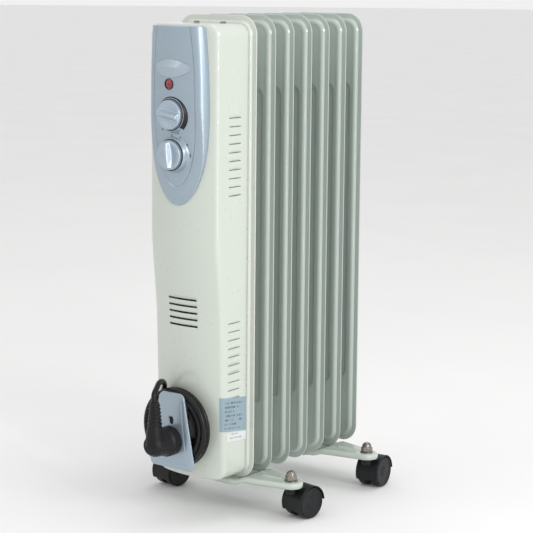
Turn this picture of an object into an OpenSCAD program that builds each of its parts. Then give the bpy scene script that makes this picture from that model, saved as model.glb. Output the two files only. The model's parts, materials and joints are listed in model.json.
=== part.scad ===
// Oil filled radiator heater: seven pressed fins joined by two headers, a sheet housing
// with its controls on the front, a cord winder, and two feet on four twin wheel castors.
// Millimetres, +Z up, front towards -Y, floor at z = 0.

/* [Fins] */
// Width of one fin, side to side
fin_w = 124; // [116:1:150]
// Height of one fin
fin_h = 580; // [540:5:640]
// Distance from one fin to the next
fin_pitch = 37.8; // [35:0.2:44]
// Outer corner radius of a fin
fin_corner = 24; // [18:1:30]
// Radius of the oil channel along the rim of a fin
channel_r = 4.8; // [4:0.1:6]

/* [Housing] */
// Width of the control housing
housing_w = 108; // [100:1:112]
// Depth of the housing above the knee, from the first fin to the middle of its front
housing_depth = 69.8; // [64:0.2:80]
// How far the front steps back just below the knee
housing_setback = 9; // [4:0.5:14]
// Thickness of the housing sheet
housing_sheet = 1.2; // [0.8:0.1:1.6]
// Distance between neighbouring side slots
louvre_pitch = 10.5; // [9:0.1:11]

/* [Controls] */
// Diameter of each knob
knob_d = 35.6; // [30:0.2:40]
// Diameter of each knob's shaft
shaft_d = 6; // [5:0.5:6]
// Distance between the two knobs' middles
knob_gap = 48.5; // [46:0.5:52]

/* [Cord] */
// Diameter of the mains cord
cord_d = 6.8; // [6.4:0.1:7]
// Radius of the middle line of the first layer on the winder
coil_r = 40; // [39.5:0.5:42]

/* [Feet] */
// Castor wheel diameter
wheel_d = 40; // [36:1:44]
// Distance from the middle of the heater to each castor stem
stem_x = 108; // [100:1:120]
// Distance from a castor's stem to its axle
castor_trail = 22; // [21.5:0.5:25]
// Diameter of the castor stems
stem_d = 8; // [7:0.5:9]

/* [Hidden] */
$fn = 48;
eps = 0.01;

// Castor heights, from the floor up
wheel_r = wheel_d / 2;
hood_in = wheel_r + 0.8;
hood_r = wheel_r + 2.3;
hood_top = wheel_r + hood_r;
foot_sheet = 2;
rim_drop = 7;
foot_end_z = hood_top + 0.7 + rim_drop;
foot_mid_z = foot_end_z - 3.6;

// Fins: the pressed rim is flat, then a round channel, then the slab with three slots
fin_z0 = foot_mid_z;
fin_z1 = fin_z0 + fin_h;
flange_half = 0.8;
slab_half = channel_r - 0.5;
rim_w = 11;
fin_wall = 0.6;
slot_w = 22;
slot_step = 34;
slot_end_low = 88;
slot_end_high = 91;
header_low = fin_z0 + 40;
header_high = fin_z1 - 54;
boss_base_r = 24;
boss_r = 17;
header_bore_r = 16;
nipple_half = 8;
boss_h = fin_pitch / 2 - slab_half;
end_boss_h = 4;
pack_half = 3 * fin_pitch;
front_y = -pack_half - channel_r;
rear_y = pack_half + channel_r;

// Housing: its front is a round arc in plan, upright above the knee, leaning back below
front_r = 130;
housing_z0 = fin_z0 + 7.6;
housing_z1 = fin_z1 - 9.9;
housing_corner = 14;
housing_back = front_y - 0.1;
crown_y = housing_back - housing_depth;
knee_z = housing_z0 + 298;
step_z = housing_z0 + 208;
foot_setback = housing_setback + 6;
knee_tilt = atan(housing_setback / (knee_z - step_z));
foot_tilt = atan((foot_setback - housing_setback) / (step_z - housing_z0));
lean = (foot_setback - housing_setback) / (step_z - housing_z0);

// Control panel and what sits on it
panel_r = 60;
panel_crown = crown_y - 13;
panel_skin = 2.4;
panel_top = housing_z1 - 2.5;
panel_tip = housing_z1 - 225.5;
panel_mid_z = housing_z1 - 101.5;
panel_half_w = 44;
panel_top_half_w = 39;
seat_y = panel_crown - 0.4;
seat_r = knob_d / 2 + 2.4;
thermostat_z = housing_z1 - 108.5;
power_z = thermostat_z - knob_gap;
lamp_x = -3;
lamp_z = housing_z1 - 72;
lamp_r = 5.5;
lamp_stem_r = 4;
bezel_r = 7;
badge_z = housing_z1 - 53;
knob_back = seat_y - 0.4;
knob_disc = 4.6;
grip_out = 5.6;
front_reach = -(knob_back - knob_disc - grip_out);
knob_rest = [-9, 6];
shaft_r = shaft_d / 2;
bracket_y = crown_y + 11.5;
body_y = bracket_y + 1.5;

// Cord winder, cord and plug
winder_z = housing_z0 + 66;
plate_y = crown_y + foot_setback - 24.5;
plate_t = 3;
plate_top = winder_z + 46;
plate_bottom = winder_z - 50;
hub_r = coil_r - cord_d / 2 - 0.4;
hub_wall = 2.4;
cord_r = cord_d / 2;
row_step = cord_d - 0.1;
row_y = [plate_y + cord_r + 14.5, plate_y + cord_r + 14.5 - row_step,
    plate_y + cord_r + 14.5 - 2 * row_step];
plug_z = winder_z - 14;
pin_x = 9.5;
pin_r = 2.4;
plug_face = plate_y - plate_t;
neck_y = plug_face - 30;
neck_top = plug_z + 54;
post_spans = [[285, 325], [350, 410], [100, 160]];

// Feet
foot_y = [-2.54 * fin_pitch, 1.9 * fin_pitch];
clamp_y = [-2.5 * fin_pitch, 1.5 * fin_pitch];
foot_end_r = 15;
foot_half_y = [32, 30];
clamp_in = boss_r + 1.8;
clamp_rod = 3;
clamp_x = clamp_in + clamp_rod;
stem_r = stem_d / 2;
swivel_rest = [-8, -6, 6, 8];
wheel_out = 15.8;
wheel_in = 3;
axle_r = 2.5;

// Everything is shifted along Y so that the heater's box is centred on the origin
rear_reach = rear_y + end_boss_h + 1;
centre_y = (front_reach - rear_reach) / 2;

module placed() {
  translate([0, centre_y, 0]) children();
}

// A round bar along Y from y0 to y1
module y_bar(x, z, r, y0, y1) {
  translate([x, y0, z]) rotate([-90, 0, 0]) cylinder(r = r, h = y1 - y0);
}

// A flat plate in the XZ plane, extruded along Y from y0 to y1; children are drawn as (x, z)
module y_slab(y0, y1) {
  translate([0, y1, 0]) rotate([90, 0, 0]) linear_extrude(height = y1 - y0) children();
}

module round_rect(w, z0, z1, r) {
  translate([-w / 2 + r, z0]) square([w - 2 * r, z1 - z0]);
  translate([-w / 2, z0 + r]) square([w, z1 - z0 - 2 * r]);
  for (sx = [-1, 1]) {
    translate([sx * (w / 2 - r), z0 + r]) circle(r = r);
    translate([sx * (w / 2 - r), z1 - r]) circle(r = r);
  }
}

module stadium(x, z0, z1, w) {
  translate([x - w / 2, z0 + w / 2]) square([w, z1 - z0 - w]);
  translate([x, z0 + w / 2]) circle(r = w / 2);
  translate([x, z1 - w / 2]) circle(r = w / 2);
}

// ---- Fins ----

// The oil space's outline, a rounded slab with a round rim; grow < 0 gives the hollow inside
module fin_chamber(grow) {
  half_x = fin_w / 2 - rim_w;
  low = fin_z0 + rim_w;
  high = fin_z1 - rim_w;
  corner = fin_corner - rim_w;
  tube_r = channel_r + grow;
  y_slab(-slab_half - grow, slab_half + grow) difference() {
    round_rect(2 * half_x, low, high, corner);
    for (k = [-1, 0, 1]) {
      stadium(k * slot_step, fin_z0 + slot_end_low + grow, fin_z1 - slot_end_high - grow,
        slot_w - 2 * grow);
    }
  }
  for (sx = [-1, 1]) {
    translate([sx * half_x, 0, low + corner]) cylinder(r = tube_r, h = high - low - 2 * corner);
    translate([sx * (half_x - corner), 0, high - corner]) rotate([90, 0, 0])
      rotate([0, 0, sx > 0 ? 0 : 90]) rotate_extrude(angle = 90)
        translate([corner, 0]) circle(r = tube_r);
    translate([sx * (half_x - corner), 0, low + corner]) rotate([90, 0, 0])
      rotate([0, 0, sx > 0 ? -90 : 180]) rotate_extrude(angle = 90)
        translate([corner, 0]) circle(r = tube_r);
  }
  for (z = [low, high]) {
    translate([-half_x + corner, 0, z]) rotate([0, 90, 0])
      cylinder(r = tube_r, h = 2 * (half_x - corner));
  }
}

module header_boss(z, front, rear) {
  translate([0, 0, z]) rotate([90, 0, 0]) translate([0, 0, slab_half - eps])
    cylinder(r1 = boss_base_r, r2 = front > end_boss_h ? boss_r : boss_base_r - 4, h = front + eps);
  translate([0, 0, z]) rotate([-90, 0, 0]) translate([0, 0, slab_half - eps])
    cylinder(r1 = boss_base_r, r2 = rear > end_boss_h ? boss_r : boss_base_r - 4, h = rear + eps);
}

// One fin: two pressed sheets welded at the rim, hollow for the oil, bored at both headers
module fin(k) {
  front = k == 1 ? end_boss_h : boss_h;
  rear = k == 7 ? end_boss_h : boss_h;
  placed() translate([0, (k - 4) * fin_pitch, 0]) difference() {
    union() {
      y_slab(-flange_half, flange_half) round_rect(fin_w, fin_z0, fin_z1, fin_corner);
      fin_chamber(0);
      header_boss(header_low, front, rear);
      header_boss(header_high, front, rear);
    }
    fin_chamber(-fin_wall);
    for (z = [header_low, header_high]) {
      y_bar(0, z, header_bore_r, -30, 30);
      if (k > 1) {
        translate([0, 0, z]) rotate([90, 0, 0]) boss_hollow();
      }
      if (k < 7) {
        translate([0, 0, z]) rotate([-90, 0, 0]) boss_hollow();
      }
    }
  }
}

// The widening of the bore inside a boss, from the oil space to where the nipple is pressed in
module boss_hollow() {
  depth = boss_h - nipple_half;
  narrow = (boss_base_r - boss_r) * depth / boss_h;
  translate([0, 0, slab_half - 1])
    cylinder(r1 = boss_base_r - 1, r2 = boss_base_r - 1 - narrow, h = depth + 1);
}

module fin_1() { color("#a9bdb3") fin(1); }
module fin_2() { color("#a9bdb3") fin(2); }
module fin_3() { color("#a9bdb3") fin(3); }
module fin_4() { color("#a9bdb3") fin(4); }
module fin_5() { color("#a9bdb3") fin(5); }
module fin_6() { color("#a9bdb3") fin(6); }
module fin_7() { color("#a9bdb3") fin(7); }

// Short steel tubes joining each pair of fins at both headers
module header_nipples() {
  color("#8d9794") placed() for (k = [1:6], z = [header_low, header_high]) {
    difference() {
      y_bar(0, z, header_bore_r, (k - 3.5) * fin_pitch - nipple_half,
        (k - 3.5) * fin_pitch + nipple_half);
      y_bar(0, z, header_bore_r - 1.5, (k - 3.5) * fin_pitch - nipple_half - 1,
        (k - 3.5) * fin_pitch + nipple_half + 1);
    }
  }
}

// Discs that close the rear ends of both headers
module header_caps() {
  cap_y = pack_half + slab_half + end_boss_h;
  color("#a9bdb3") placed() for (z = [header_low, header_high]) {
    y_bar(0, z, header_bore_r, cap_y - 3, cap_y);
    y_bar(0, z, header_bore_r + 2, cap_y, cap_y + 1.5);
  }
}

// Closes the front end of the top header, with the pinched filling pipe in its middle
module oil_fill_plug() {
  cap_y = -pack_half - slab_half - end_boss_h;
  color("#8d9794") placed() {
    y_bar(0, header_high, header_bore_r, cap_y, cap_y + 3);
    y_bar(0, header_high, header_bore_r + 2, cap_y - 1.5, cap_y);
    y_bar(0, header_high, 3, cap_y - 10, cap_y - 1.5);
  }
}

// ---- Heating elements ----

element_r = 3.3;
element_off = 6;
flange_front = -pack_half - slab_half - end_boss_h;

// Hexagon flange screwed into the front end of the bottom header
module element_flange() {
  color("#c2a15c") placed() difference() {
    union() {
      y_bar(0, header_low, header_bore_r, flange_front, flange_front + 9);
      translate([0, flange_front - 7, header_low]) rotate([-90, 0, 0])
        cylinder(r = 20, h = 7, $fn = 6);
    }
    for (sx = [-1, 1], sz = [-1, 1]) {
      y_bar(sx * element_off, header_low + sz * element_off, element_r, flange_front - 8,
        flange_front + 10);
    }
  }
}

// Two U shaped tubular elements through the bottom header, one low and one high
module heating_elements() {
  bend_y = pack_half - 10;
  color("#6f6a63") placed() for (sz = [-1, 1]) {
    for (sx = [-1, 1]) {
      y_bar(sx * element_off, header_low + sz * element_off, element_r, flange_front - 12, bend_y);
    }
    translate([0, bend_y, header_low + sz * element_off])
      rotate_extrude(angle = 180) translate([element_off, 0]) circle(r = element_r);
  }
}

// Ceramic collars and flat blades on the four cold ends
module element_terminals() {
  color("#d9d4c8") placed() for (sx = [-1, 1], sz = [-1, 1]) {
    y_bar(sx * element_off, header_low + sz * element_off, 2.6, flange_front - 16,
      flange_front - 12);
    translate([sx * element_off - 0.4, flange_front - 25, header_low + sz * element_off - 2])
      cube([0.8, 9, 4]);
  }
}

// ---- Housing ----

// A round bar whose front line passes through (y, z), leaning forward by tilt at its top
module front_bar(tilt, y, z, off) {
  intersection() {
    translate([0, y + front_r / cos(tilt), z]) rotate([tilt, 0, 0])
      cylinder(r = front_r - off, h = 1400, center = true, $fn = 96);
    translate([-70, crown_y - 40, housing_z0 - 60]) cube([140, 150, 700]);
  }
}

// The housing's front: upright above the knee, leaning back below it, and less below the step
module housing_front(off) {
  intersection() {
    front_bar(0, crown_y, knee_z, off);
    front_bar(knee_tilt, crown_y + housing_setback / 2, (knee_z + step_z) / 2, off);
  }
  intersection() {
    front_bar(foot_tilt, crown_y + (housing_setback + foot_setback) / 2,
      (step_z + housing_z0) / 2, off);
    translate([-80, crown_y - 50, housing_z0 - 80]) cube([160, 200, step_z - housing_z0 + 120]);
  }
}

module housing_solid(off, back) {
  intersection() {
    y_slab(crown_y - 20, back) round_rect(housing_w - 2 * off, housing_z0 + off,
      housing_z1 - off, housing_corner - off);
    housing_front(off);
  }
}

bracket_studs = [[-30, 30], [30, 30], [-30, -84], [30, -84]];
lip_y = housing_back - 20;

// Sheet steel cover, open at the back, with side slots, front slots and four bracket studs
module control_housing() {
  color("#dfe6da") placed() difference() {
    union() {
      difference() {
        housing_solid(0, housing_back);
        housing_solid(housing_sheet, housing_back + 1);
      }
      intersection() {
        housing_solid(housing_sheet / 2, housing_back);
        for (p = bracket_studs) {
          y_bar(p[0], thermostat_z + p[1], 3, crown_y - 5, bracket_y);
        }
      }
    }
    for (k = [0:9]) {
      translate([-80, housing_back - 37.4, housing_z1 - 113 - k * louvre_pitch]) cube([160, 23, 1.6]);
      translate([-80, housing_back - 37.4, housing_z0 + 197 - k * louvre_pitch]) cube([160, 23, 1.6]);
    }
    for (k = [0:4]) {
      y_slab(crown_y - 10, bracket_y + 14) stadium_x(0, housing_z0 + 226.3 - k * 8.3, 45, 2.4);
    }
    y_bar(0, thermostat_z, shaft_r + 3.5, crown_y - 5, bracket_y);
    y_bar(0, power_z, shaft_r + 3.5, crown_y - 5, bracket_y);
    y_bar(lamp_x, lamp_z, lamp_stem_r + 1.2, crown_y - 5, bracket_y);
    y_bar(gland_x, gland_z, gland_r, crown_y, crown_y + foot_setback + 10);
    y_bar(0, winder_z + 11, 2, crown_y, crown_y + foot_setback + 10);
    for (sx = [-1, 1]) {
      translate([sx * 21, lip_y + 10, housing_z0 - 1]) cylinder(r = 2.1, h = housing_z1 + 2);
    }
  }
}

module stadium_x(x, z, w, h) {
  translate([x - w / 2 + h / 2, z - h / 2]) square([w - h, h]);
  translate([x - w / 2 + h / 2, z]) circle(r = h / 2);
  translate([x + w / 2 - h / 2, z]) circle(r = h / 2);
}

plate_y0 = housing_back - 1.2;
plate_w = housing_w - 2 * housing_sheet;
lip_in = housing_sheet + 0.05;

// Steel plate between the cover and the first fin, with folded lips and welded studs
module housing_back_plate() {
  low = housing_z0 + housing_sheet;
  high = housing_z1 - housing_sheet;
  color("#9aa3a0") placed() {
    difference() {
      union() {
        y_slab(plate_y0, housing_back) round_rect(plate_w, low, high,
          housing_corner - housing_sheet);
        translate([-36, lip_y, high - 1.2]) cube([72, 20, 1.2]);
        translate([-36, lip_y, low]) cube([72, 20, 1.2]);
      }
      y_bar(0, header_low, boss_base_r + 1, plate_y0 - 1, housing_back + 1);
      y_bar(0, header_high, boss_base_r + 1, plate_y0 - 1, housing_back + 1);
      for (sx = [-1, 1]) {
        translate([sx * 21, lip_y + 10, low - 1]) cylinder(r = 2.1, h = high - low + 2);
      }
    }
    for (sx = [-1, 1], z = [fin_z0 + 72, fin_z1 - 84]) {
      y_bar(sx * 17, z, 3, plate_y0 - 4, -pack_half - slab_half);
    }
  }
}

module pan_screw(l) {
  cylinder(r = 2, h = l + eps);
  translate([0, 0, l]) cylinder(r1 = 4, r2 = 3, h = 2.2);
}

// Pan head screws: two on top, two below, and one that holds the winder
module housing_screws() {
  color("#c9cdd0") placed() {
    for (sx = [-1, 1]) {
      translate([sx * 21, lip_y + 10, housing_z1 - 5]) pan_screw(5);
      translate([sx * 21, lip_y + 10, housing_z0 + 5]) rotate([180, 0, 0]) pan_screw(5);
    }
    winder_screw_y = crown_y + foot_setback - 8;
    y_bar(0, winder_z + 11, 2, winder_screw_y, winder_screw_y + 17);
    y_bar(0, winder_z + 11, 3.2, winder_screw_y - 2, winder_screw_y);
  }
}

// ---- Parts behind the panel ----

// Plate on the housing studs that carries the thermostat, the power switch and the lamp
module component_bracket() {
  color("#9aa3a0") placed() difference() {
    y_slab(bracket_y, bracket_y + 1.5)
      round_rect(72, thermostat_z - 90, thermostat_z + 52, 6);
    y_bar(0, thermostat_z, shaft_r + 2, bracket_y - 1, bracket_y + 3);
    y_bar(0, power_z, shaft_r + 2, bracket_y - 1, bracket_y + 3);
    y_bar(lamp_x, lamp_z, 4, bracket_y - 1, bracket_y + 3);
  }
}

module bushed_body(z, w, h, d) {
  difference() {
    union() {
      translate([-w / 2, body_y, z - h / 2]) cube([w, d, h]);
      y_bar(0, z, shaft_r + 2, bracket_y - 4, body_y + eps);
    }
    y_bar(0, z, shaft_r + 0.06, bracket_y - 5, body_y + 12.5);
  }
}

// Bimetal thermostat with its bushing and side contacts
module thermostat_body() {
  color("#6d5a48") placed() {
    bushed_body(thermostat_z, 30, 34, 16);
    for (sx = [-1, 1]) {
      translate([sx * 19 - (sx > 0 ? 4 : 4), body_y + 6, thermostat_z - 3]) cube([8, 0.8, 6]);
    }
  }
}

// Rotary power switch with its bushing and blades
module power_switch_body() {
  color("#3a3b3d") placed() {
    bushed_body(power_z, 30, 28, 19);
    for (k = [-1, 0, 1]) {
      translate([k * 9 - 0.4, body_y + 19, power_z - 3]) cube([0.8, 8, 6]);
    }
  }
}

// Red lens with the neon lamp behind it
module indicator_lamp() {
  lens_y = panel_crown - 1.2;
  color("#b3202a") placed() {
    y_bar(lamp_x, lamp_z, lamp_stem_r, lens_y, body_y + 6);
    intersection() {
      translate([lamp_x, lens_y + 0.9 * lamp_r, lamp_z]) sphere(r = 1.35 * lamp_r);
      y_bar(lamp_x, lamp_z, lamp_r, lens_y - 4, lens_y);
    }
  }
}

// Black ring around the lens
module lamp_bezel() {
  lens_y = panel_crown - 1.2;
  color("#1b1b1d") placed() difference() {
    y_bar(lamp_x, lamp_z, bezel_r, lens_y - 0.6, lens_y + 3.4);
    y_bar(lamp_x, lamp_z, lamp_r, lens_y - 1, lens_y);
    y_bar(lamp_x, lamp_z, lamp_stem_r, lens_y - 1, lens_y + 4);
  }
}

block_z = winder_z + 74;

// Three way terminal block on the back plate
module terminal_block() {
  color("#e6e2d6") placed() difference() {
    translate([-24, plate_y0 - 16, block_z]) cube([48, 16, 20]);
    for (k = [-1, 0, 1]) {
      y_bar(k * 14, block_z + 10, 3.2, plate_y0 - 17, plate_y0 - 8);
    }
  }
}

// Round resetting cut-out against the back plate, above the elements
module thermal_cutout() {
  color("#b9b2a2") placed() {
    y_bar(24, winder_z + 50, 8, plate_y0 - 9, plate_y0);
    y_bar(24, winder_z + 50, 10.5, plate_y0 - 1.2, plate_y0);
    for (sz = [-1, 1]) {
      translate([23.6, plate_y0 - 17, winder_z + 48 + sz * 4]) cube([0.8, 8, 4]);
    }
  }
}

module wire(x, y, z0, z1) {
  translate([x, y, z0]) cylinder(r = 1.3, h = z1 - z0);
  translate([x, y, z1]) sphere(r = 1.3);
  translate([x, y, z0]) sphere(r = 1.3);
}

// Insulated wires from the block up to the switch and the thermostat, and down to the elements
module wiring() {
  color("#8a5a2b") placed() {
    for (k = [-1, 0, 1]) {
      wire(k * 9, body_y + 25, block_z + 26, power_z - 5);
      wire(k * 14, plate_y0 - 10, block_z + 21.5, block_z + 30);
    }
    wire(20.5, body_y + 10, power_z + 16, thermostat_z - 5);
    wire(-20.5, body_y + 10, power_z + 16, thermostat_z - 5);
    for (sx = [-1, 1]) {
      wire(sx * element_off, flange_front - 22, header_low + 9.5, block_z - 2);
    }
  }
}

// ---- Panel and knobs ----

// Half width of the panel at height z: a gentle taper above the middle, a blunt tip below
function panel_half(z) = z > panel_mid_z
  ? panel_half_w - (panel_half_w - panel_top_half_w) * pow((z - panel_mid_z)
      / (panel_top - panel_mid_z), 2)
  : panel_half_w * pow(max(0, 1 - pow((panel_mid_z - z) / (panel_mid_z - panel_tip), 2.6)), 0.5);

// Heights of the outline's points, close together towards the tip
function panel_z(i) = i <= 6
  ? panel_top - (panel_top - panel_mid_z) * i / 6
  : panel_mid_z - (panel_mid_z - panel_tip) * sin(90 * (i - 6) / 18);

module panel_outline(inset) {
  points = concat(
    [for (i = [0:23]) [panel_half(panel_z(i)), panel_z(i)]],
    [[0, panel_tip]],
    [for (i = [23:-1:0]) [-panel_half(panel_z(i)), panel_z(i)]]);
  offset(delta = -inset) polygon(points);
}

// The bulging outer surface, pushed in by off: an upright round arc, cut by a leaning one
module panel_bulge(off) {
  intersection() {
    translate([0, panel_crown + panel_r, panel_tip - 20])
      cylinder(r = panel_r - off, h = 280, $fn = 96);
    translate([0, panel_crown + 7 + front_r / cos(7), panel_tip + 55])
      rotate([7, 0, 0]) cylinder(r = front_r - off, h = 900, center = true, $fn = 96);
  }
}

// Silvery moulded panel, hollow behind, resting on the housing's front
module control_panel() {
  color("#a9b9c9") placed() difference() {
    union() {
      difference() {
        intersection() {
          y_slab(panel_crown - 10, crown_y + 20) panel_outline(0);
          panel_bulge(0);
        }
        intersection() {
          y_slab(panel_crown - 10, crown_y + 21) panel_outline(panel_skin);
          panel_bulge(panel_skin);
        }
      }
      for (z = [thermostat_z, power_z]) {
        y_bar(0, z, seat_r, seat_y, panel_crown + panel_skin + 1.2);
      }
    }
    housing_solid(0, housing_back);
    y_bar(0, thermostat_z, shaft_r + 1.5, panel_crown - 5, crown_y + 20);
    y_bar(0, power_z, shaft_r + 1.5, panel_crown - 5, crown_y + 20);
    y_bar(lamp_x, lamp_z, bezel_r, panel_crown - 5, panel_crown + 2.2);
    y_bar(lamp_x, lamp_z, lamp_stem_r, panel_crown - 5, crown_y + 20);
  }
}

// Blank two faceted leaf on the panel
module panel_badge() {
  color("#8fa0b0") placed() difference() {
    intersection() {
      y_slab(panel_crown - 3, panel_crown + 8) intersection() {
        translate([0, badge_z - 36]) circle(r = 47);
        translate([0, badge_z + 36]) circle(r = 47);
        translate([-26, badge_z - 20]) square([55, 40]);
      }
      translate([0, panel_crown - 2, badge_z]) rotate([0, 90, 0])
        cylinder(r = 14, h = 60, center = true, $fn = 4);
    }
    panel_bulge(0);
  }
}

// A knob is a disc with a straight grip across it, a little narrower at its outer edge
module knob(z, turn) {
  translate([0, knob_back, z]) rotate([90, 0, 0]) rotate([0, 0, turn]) difference() {
    union() {
      cylinder(r = knob_d / 2, h = knob_disc - 1);
      translate([0, 0, knob_disc - 1]) cylinder(r1 = knob_d / 2, r2 = knob_d / 2 - 1, h = 1);
      intersection() {
        cylinder(r = knob_d / 2 - 1.2, h = knob_disc + grip_out);
        rotate([90, 0, 0]) linear_extrude(height = knob_d, center = true)
          polygon([[-5, knob_disc - 1], [5, knob_disc - 1], [1.8, knob_disc + grip_out],
            [-1.8, knob_disc + grip_out]]);
      }
    }
    translate([0, 0, -1]) cylinder(r = shaft_r, h = knob_disc + 0.5);
  }
}

module thermostat_knob() {
  color("#b4c2d0") placed() knob(thermostat_z, 90 + knob_rest[0]);
}

module power_knob() {
  color("#b4c2d0") placed() knob(power_z, knob_rest[1]);
}

module thermostat_shaft() {
  color("#c9cdd0") placed() y_bar(0, thermostat_z, shaft_r, knob_back - knob_disc + 0.5, body_y + 12);
}

module power_shaft() {
  color("#c9cdd0") placed() y_bar(0, power_z, shaft_r, knob_back - knob_disc + 0.5, body_y + 12);
}

// ---- Cord winder, cord and plug ----

module plate_outline(inset) {
  hull() {
    for (sx = [-1, 1]) {
      translate([sx * 11.5, plate_top - 9]) circle(r = 9 - inset);
      translate([sx * 26.5, plate_bottom + 9]) circle(r = 9 - inset);
    }
  }
}

module wedge(a0, a1, r) {
  polygon([[0, 0], [r * cos(a0), r * sin(a0)], [r * cos((a0 + a1) / 2), r * sin((a0 + a1) / 2)],
    [r * cos(a1), r * sin(a1)]]);
}

// Front plate with three curved posts and a screw boss behind it, in one moulding
module cord_winder() {
  color("#9fb2c4") placed() difference() {
    union() {
      y_slab(plate_y - plate_t, plate_y) plate_outline(0);
      difference() {
        union() {
          y_slab(plate_y - eps, crown_y + foot_setback + 14) for (s = post_spans) {
            translate([0, winder_z]) intersection() {
              difference() {
                circle(r = hub_r);
                circle(r = hub_r - hub_wall);
              }
              wedge(s[0], s[1], 60);
            }
          }
          y_bar(0, winder_z + 11, 7.6, plate_y - eps, crown_y + foot_setback + 6);
        }
        housing_solid(0, housing_back);
      }
    }
    y_slab(plate_y - plate_t - 1, crown_y + foot_setback - 8)
      stadium(0, winder_z + 6, winder_z + 16, 7);
    y_bar(0, winder_z + 11, 2, plate_y, crown_y + foot_setback + 10);
    for (sx = [-1, 1]) {
      y_bar(sx * pin_x, plug_z, pin_r + 0.4, plate_y - plate_t - 1, plate_y + 1);
    }
    y_slab(plate_y - plate_t - 1, plate_y - plate_t + 0.6) difference() {
      groove_outline(0);
      groove_outline(1.2);
    }
  }
}

module groove_outline(inset) {
  hull() {
    for (sx = [-1, 1]) {
      translate([sx * 6, winder_z + 20]) circle(r = 5 - inset);
      translate([sx * 17, winder_z - 40]) circle(r = 5 - inset);
    }
  }
}

gland_x = 20;
gland_z = winder_z - 17;
gland_r = 6;
gland_y = crown_y + foot_setback - 5;

// Elbow that turns the cord from the housing's front into the winder
module cord_gland() {
  color("#1b1b1d") placed() difference() {
    union() {
      y_bar(gland_x, gland_z, gland_r, gland_y, crown_y + foot_setback + 6);
      translate([gland_x, gland_y, gland_z]) sphere(r = gland_r);
      translate([gland_x, gland_y, gland_z]) rotate([0, -140, 0]) cylinder(r1 = 4.4, r2 = 4, h = 13);
    }
    translate([gland_x, gland_y, gland_z]) rotate([0, -140, 0]) translate([0, 0, 6])
      cylinder(r = cord_r, h = 10);
  }
}

lead_start = [gland_x - 6 * sin(40), gland_y, gland_z - 6 * cos(40)];
lead_points = [lead_start, lead_start + [-5, 0, -5.4], [3, gland_y, winder_z - 29],
  [-7, gland_y, winder_z - 32.5], [-18, gland_y, winder_z - 31], [-28, gland_y, winder_z - 25.5],
  [-34.5, gland_y, winder_z - 17]];

tail_a = 140;
tail_r = coil_r + row_step;
tail_start = [tail_r * cos(tail_a), row_y[0], winder_z + tail_r * sin(tail_a)];
tail_points = [tail_start - [2.6, 0, 3.2], tail_start + [6, -1, 8.5], tail_start + [11.5, -5, 17],
  tail_start + [16.5, -12, 24], tail_start + [21, -21, 28], tail_start + [25.5, -31, 28.5],
  tail_start + [29.5, -40, 24.5], [-2.6, neck_y + 2, neck_top + 9],
  [-1, neck_y, neck_top], [0, neck_y, neck_top - 5]];

// Catmull-Rom point between p[i] and p[i + 1]
function route(p, i, t) = let (
    a = p[max(0, i - 1)], b = p[i], c = p[i + 1], d = p[min(len(p) - 1, i + 2)])
  0.5 * ((2 * b) + (c - a) * t + (2 * a - 5 * b + 4 * c - d) * t * t
    + (3 * b - a - 3 * c + d) * t * t * t);
function route_all(p, n) = concat(
  [for (i = [0:len(p) - 2], j = [0:n - 1]) route(p, i, j / n)], [p[len(p) - 1]]);
function unit(v) = v / norm(v);

// A tube of radius r along the points q, with sides facets round it
module tube(q, r, sides) {
  n = len(q);
  dirs = [for (i = [0:n - 1]) unit(q[min(n - 1, i + 1)] - q[max(0, i - 1)])];
  rings = [for (i = [0:n - 1]) let (
      u = unit(cross(dirs[i], [0.3, 0.1, 1])), v = cross(dirs[i], u))
    [for (k = [0:sides - 1]) q[i] + r * (cos(360 * k / sides) * u + sin(360 * k / sides) * v)]];
  points = [for (ring = rings, p = ring) p];
  skin = [for (i = [0:n - 2], k = [0:sides - 1])
    [i * sides + k, i * sides + (k + 1) % sides, (i + 1) * sides + (k + 1) % sides,
      (i + 1) * sides + k]];
  first = [[for (k = [sides - 1:-1:0]) k]];
  last = [[for (k = [0:sides - 1]) (n - 1) * sides + k]];
  polyhedron(points = points, faces = concat(skin, first, last), convexity = 6);
}

// Free stretch from the gland to the first turn
module cord_lead() {
  color("#1b1b1d") placed() tube(route_all(lead_points, 3), cord_r, 10);
}

// The ring that the cord's turns fill, two layers of three rows round the winder's posts
module cord_coil() {
  color("#1b1b1d") placed() translate([0, 0, winder_z]) rotate([90, 0, 0]) rotate_extrude() {
    for (y = row_y, r = [coil_r, tail_r]) {
      translate([r, -y]) circle(r = cord_r);
    }
    translate([coil_r, -row_y[0]]) square([row_step, 2 * row_step]);
  }
}

// Free stretch from the last turn over the winder's top to the plug
module cord_tail() {
  color("#1b1b1d") placed() tube(route_all(tail_points, 3), cord_r, 12);
}

// Moulded angled plug parked on the winder, with its ribbed neck upwards
module mains_plug() {
  color("#1b1b1d") placed() {
    y_bar(0, plug_z, 18.5, plug_face - 13, plug_face);
    translate([0, plug_face - 13, plug_z]) rotate([90, 0, 0]) cylinder(r1 = 18.5, r2 = 15.5, h = 8);
    translate([0, plug_face - 21, plug_z]) rotate([90, 0, 0]) cylinder(r1 = 15.5, r2 = 14, h = 15);
    translate([0, plug_face - 36, plug_z]) rotate([90, 0, 0]) cylinder(r1 = 14, r2 = 9, h = 4);
    difference() {
      translate([0, neck_y, plug_z]) cylinder(r1 = 10, r2 = 5.6, h = neck_top - plug_z);
      translate([0, neck_y, neck_top - 8]) cylinder(r = cord_r, h = 10);
    }
    for (k = [0:5]) {
      translate([0, neck_y, plug_z + 26 + 4.6 * k]) cylinder(r = 8.6 - 0.36 * k, h = 2.2);
    }
  }
}

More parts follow.
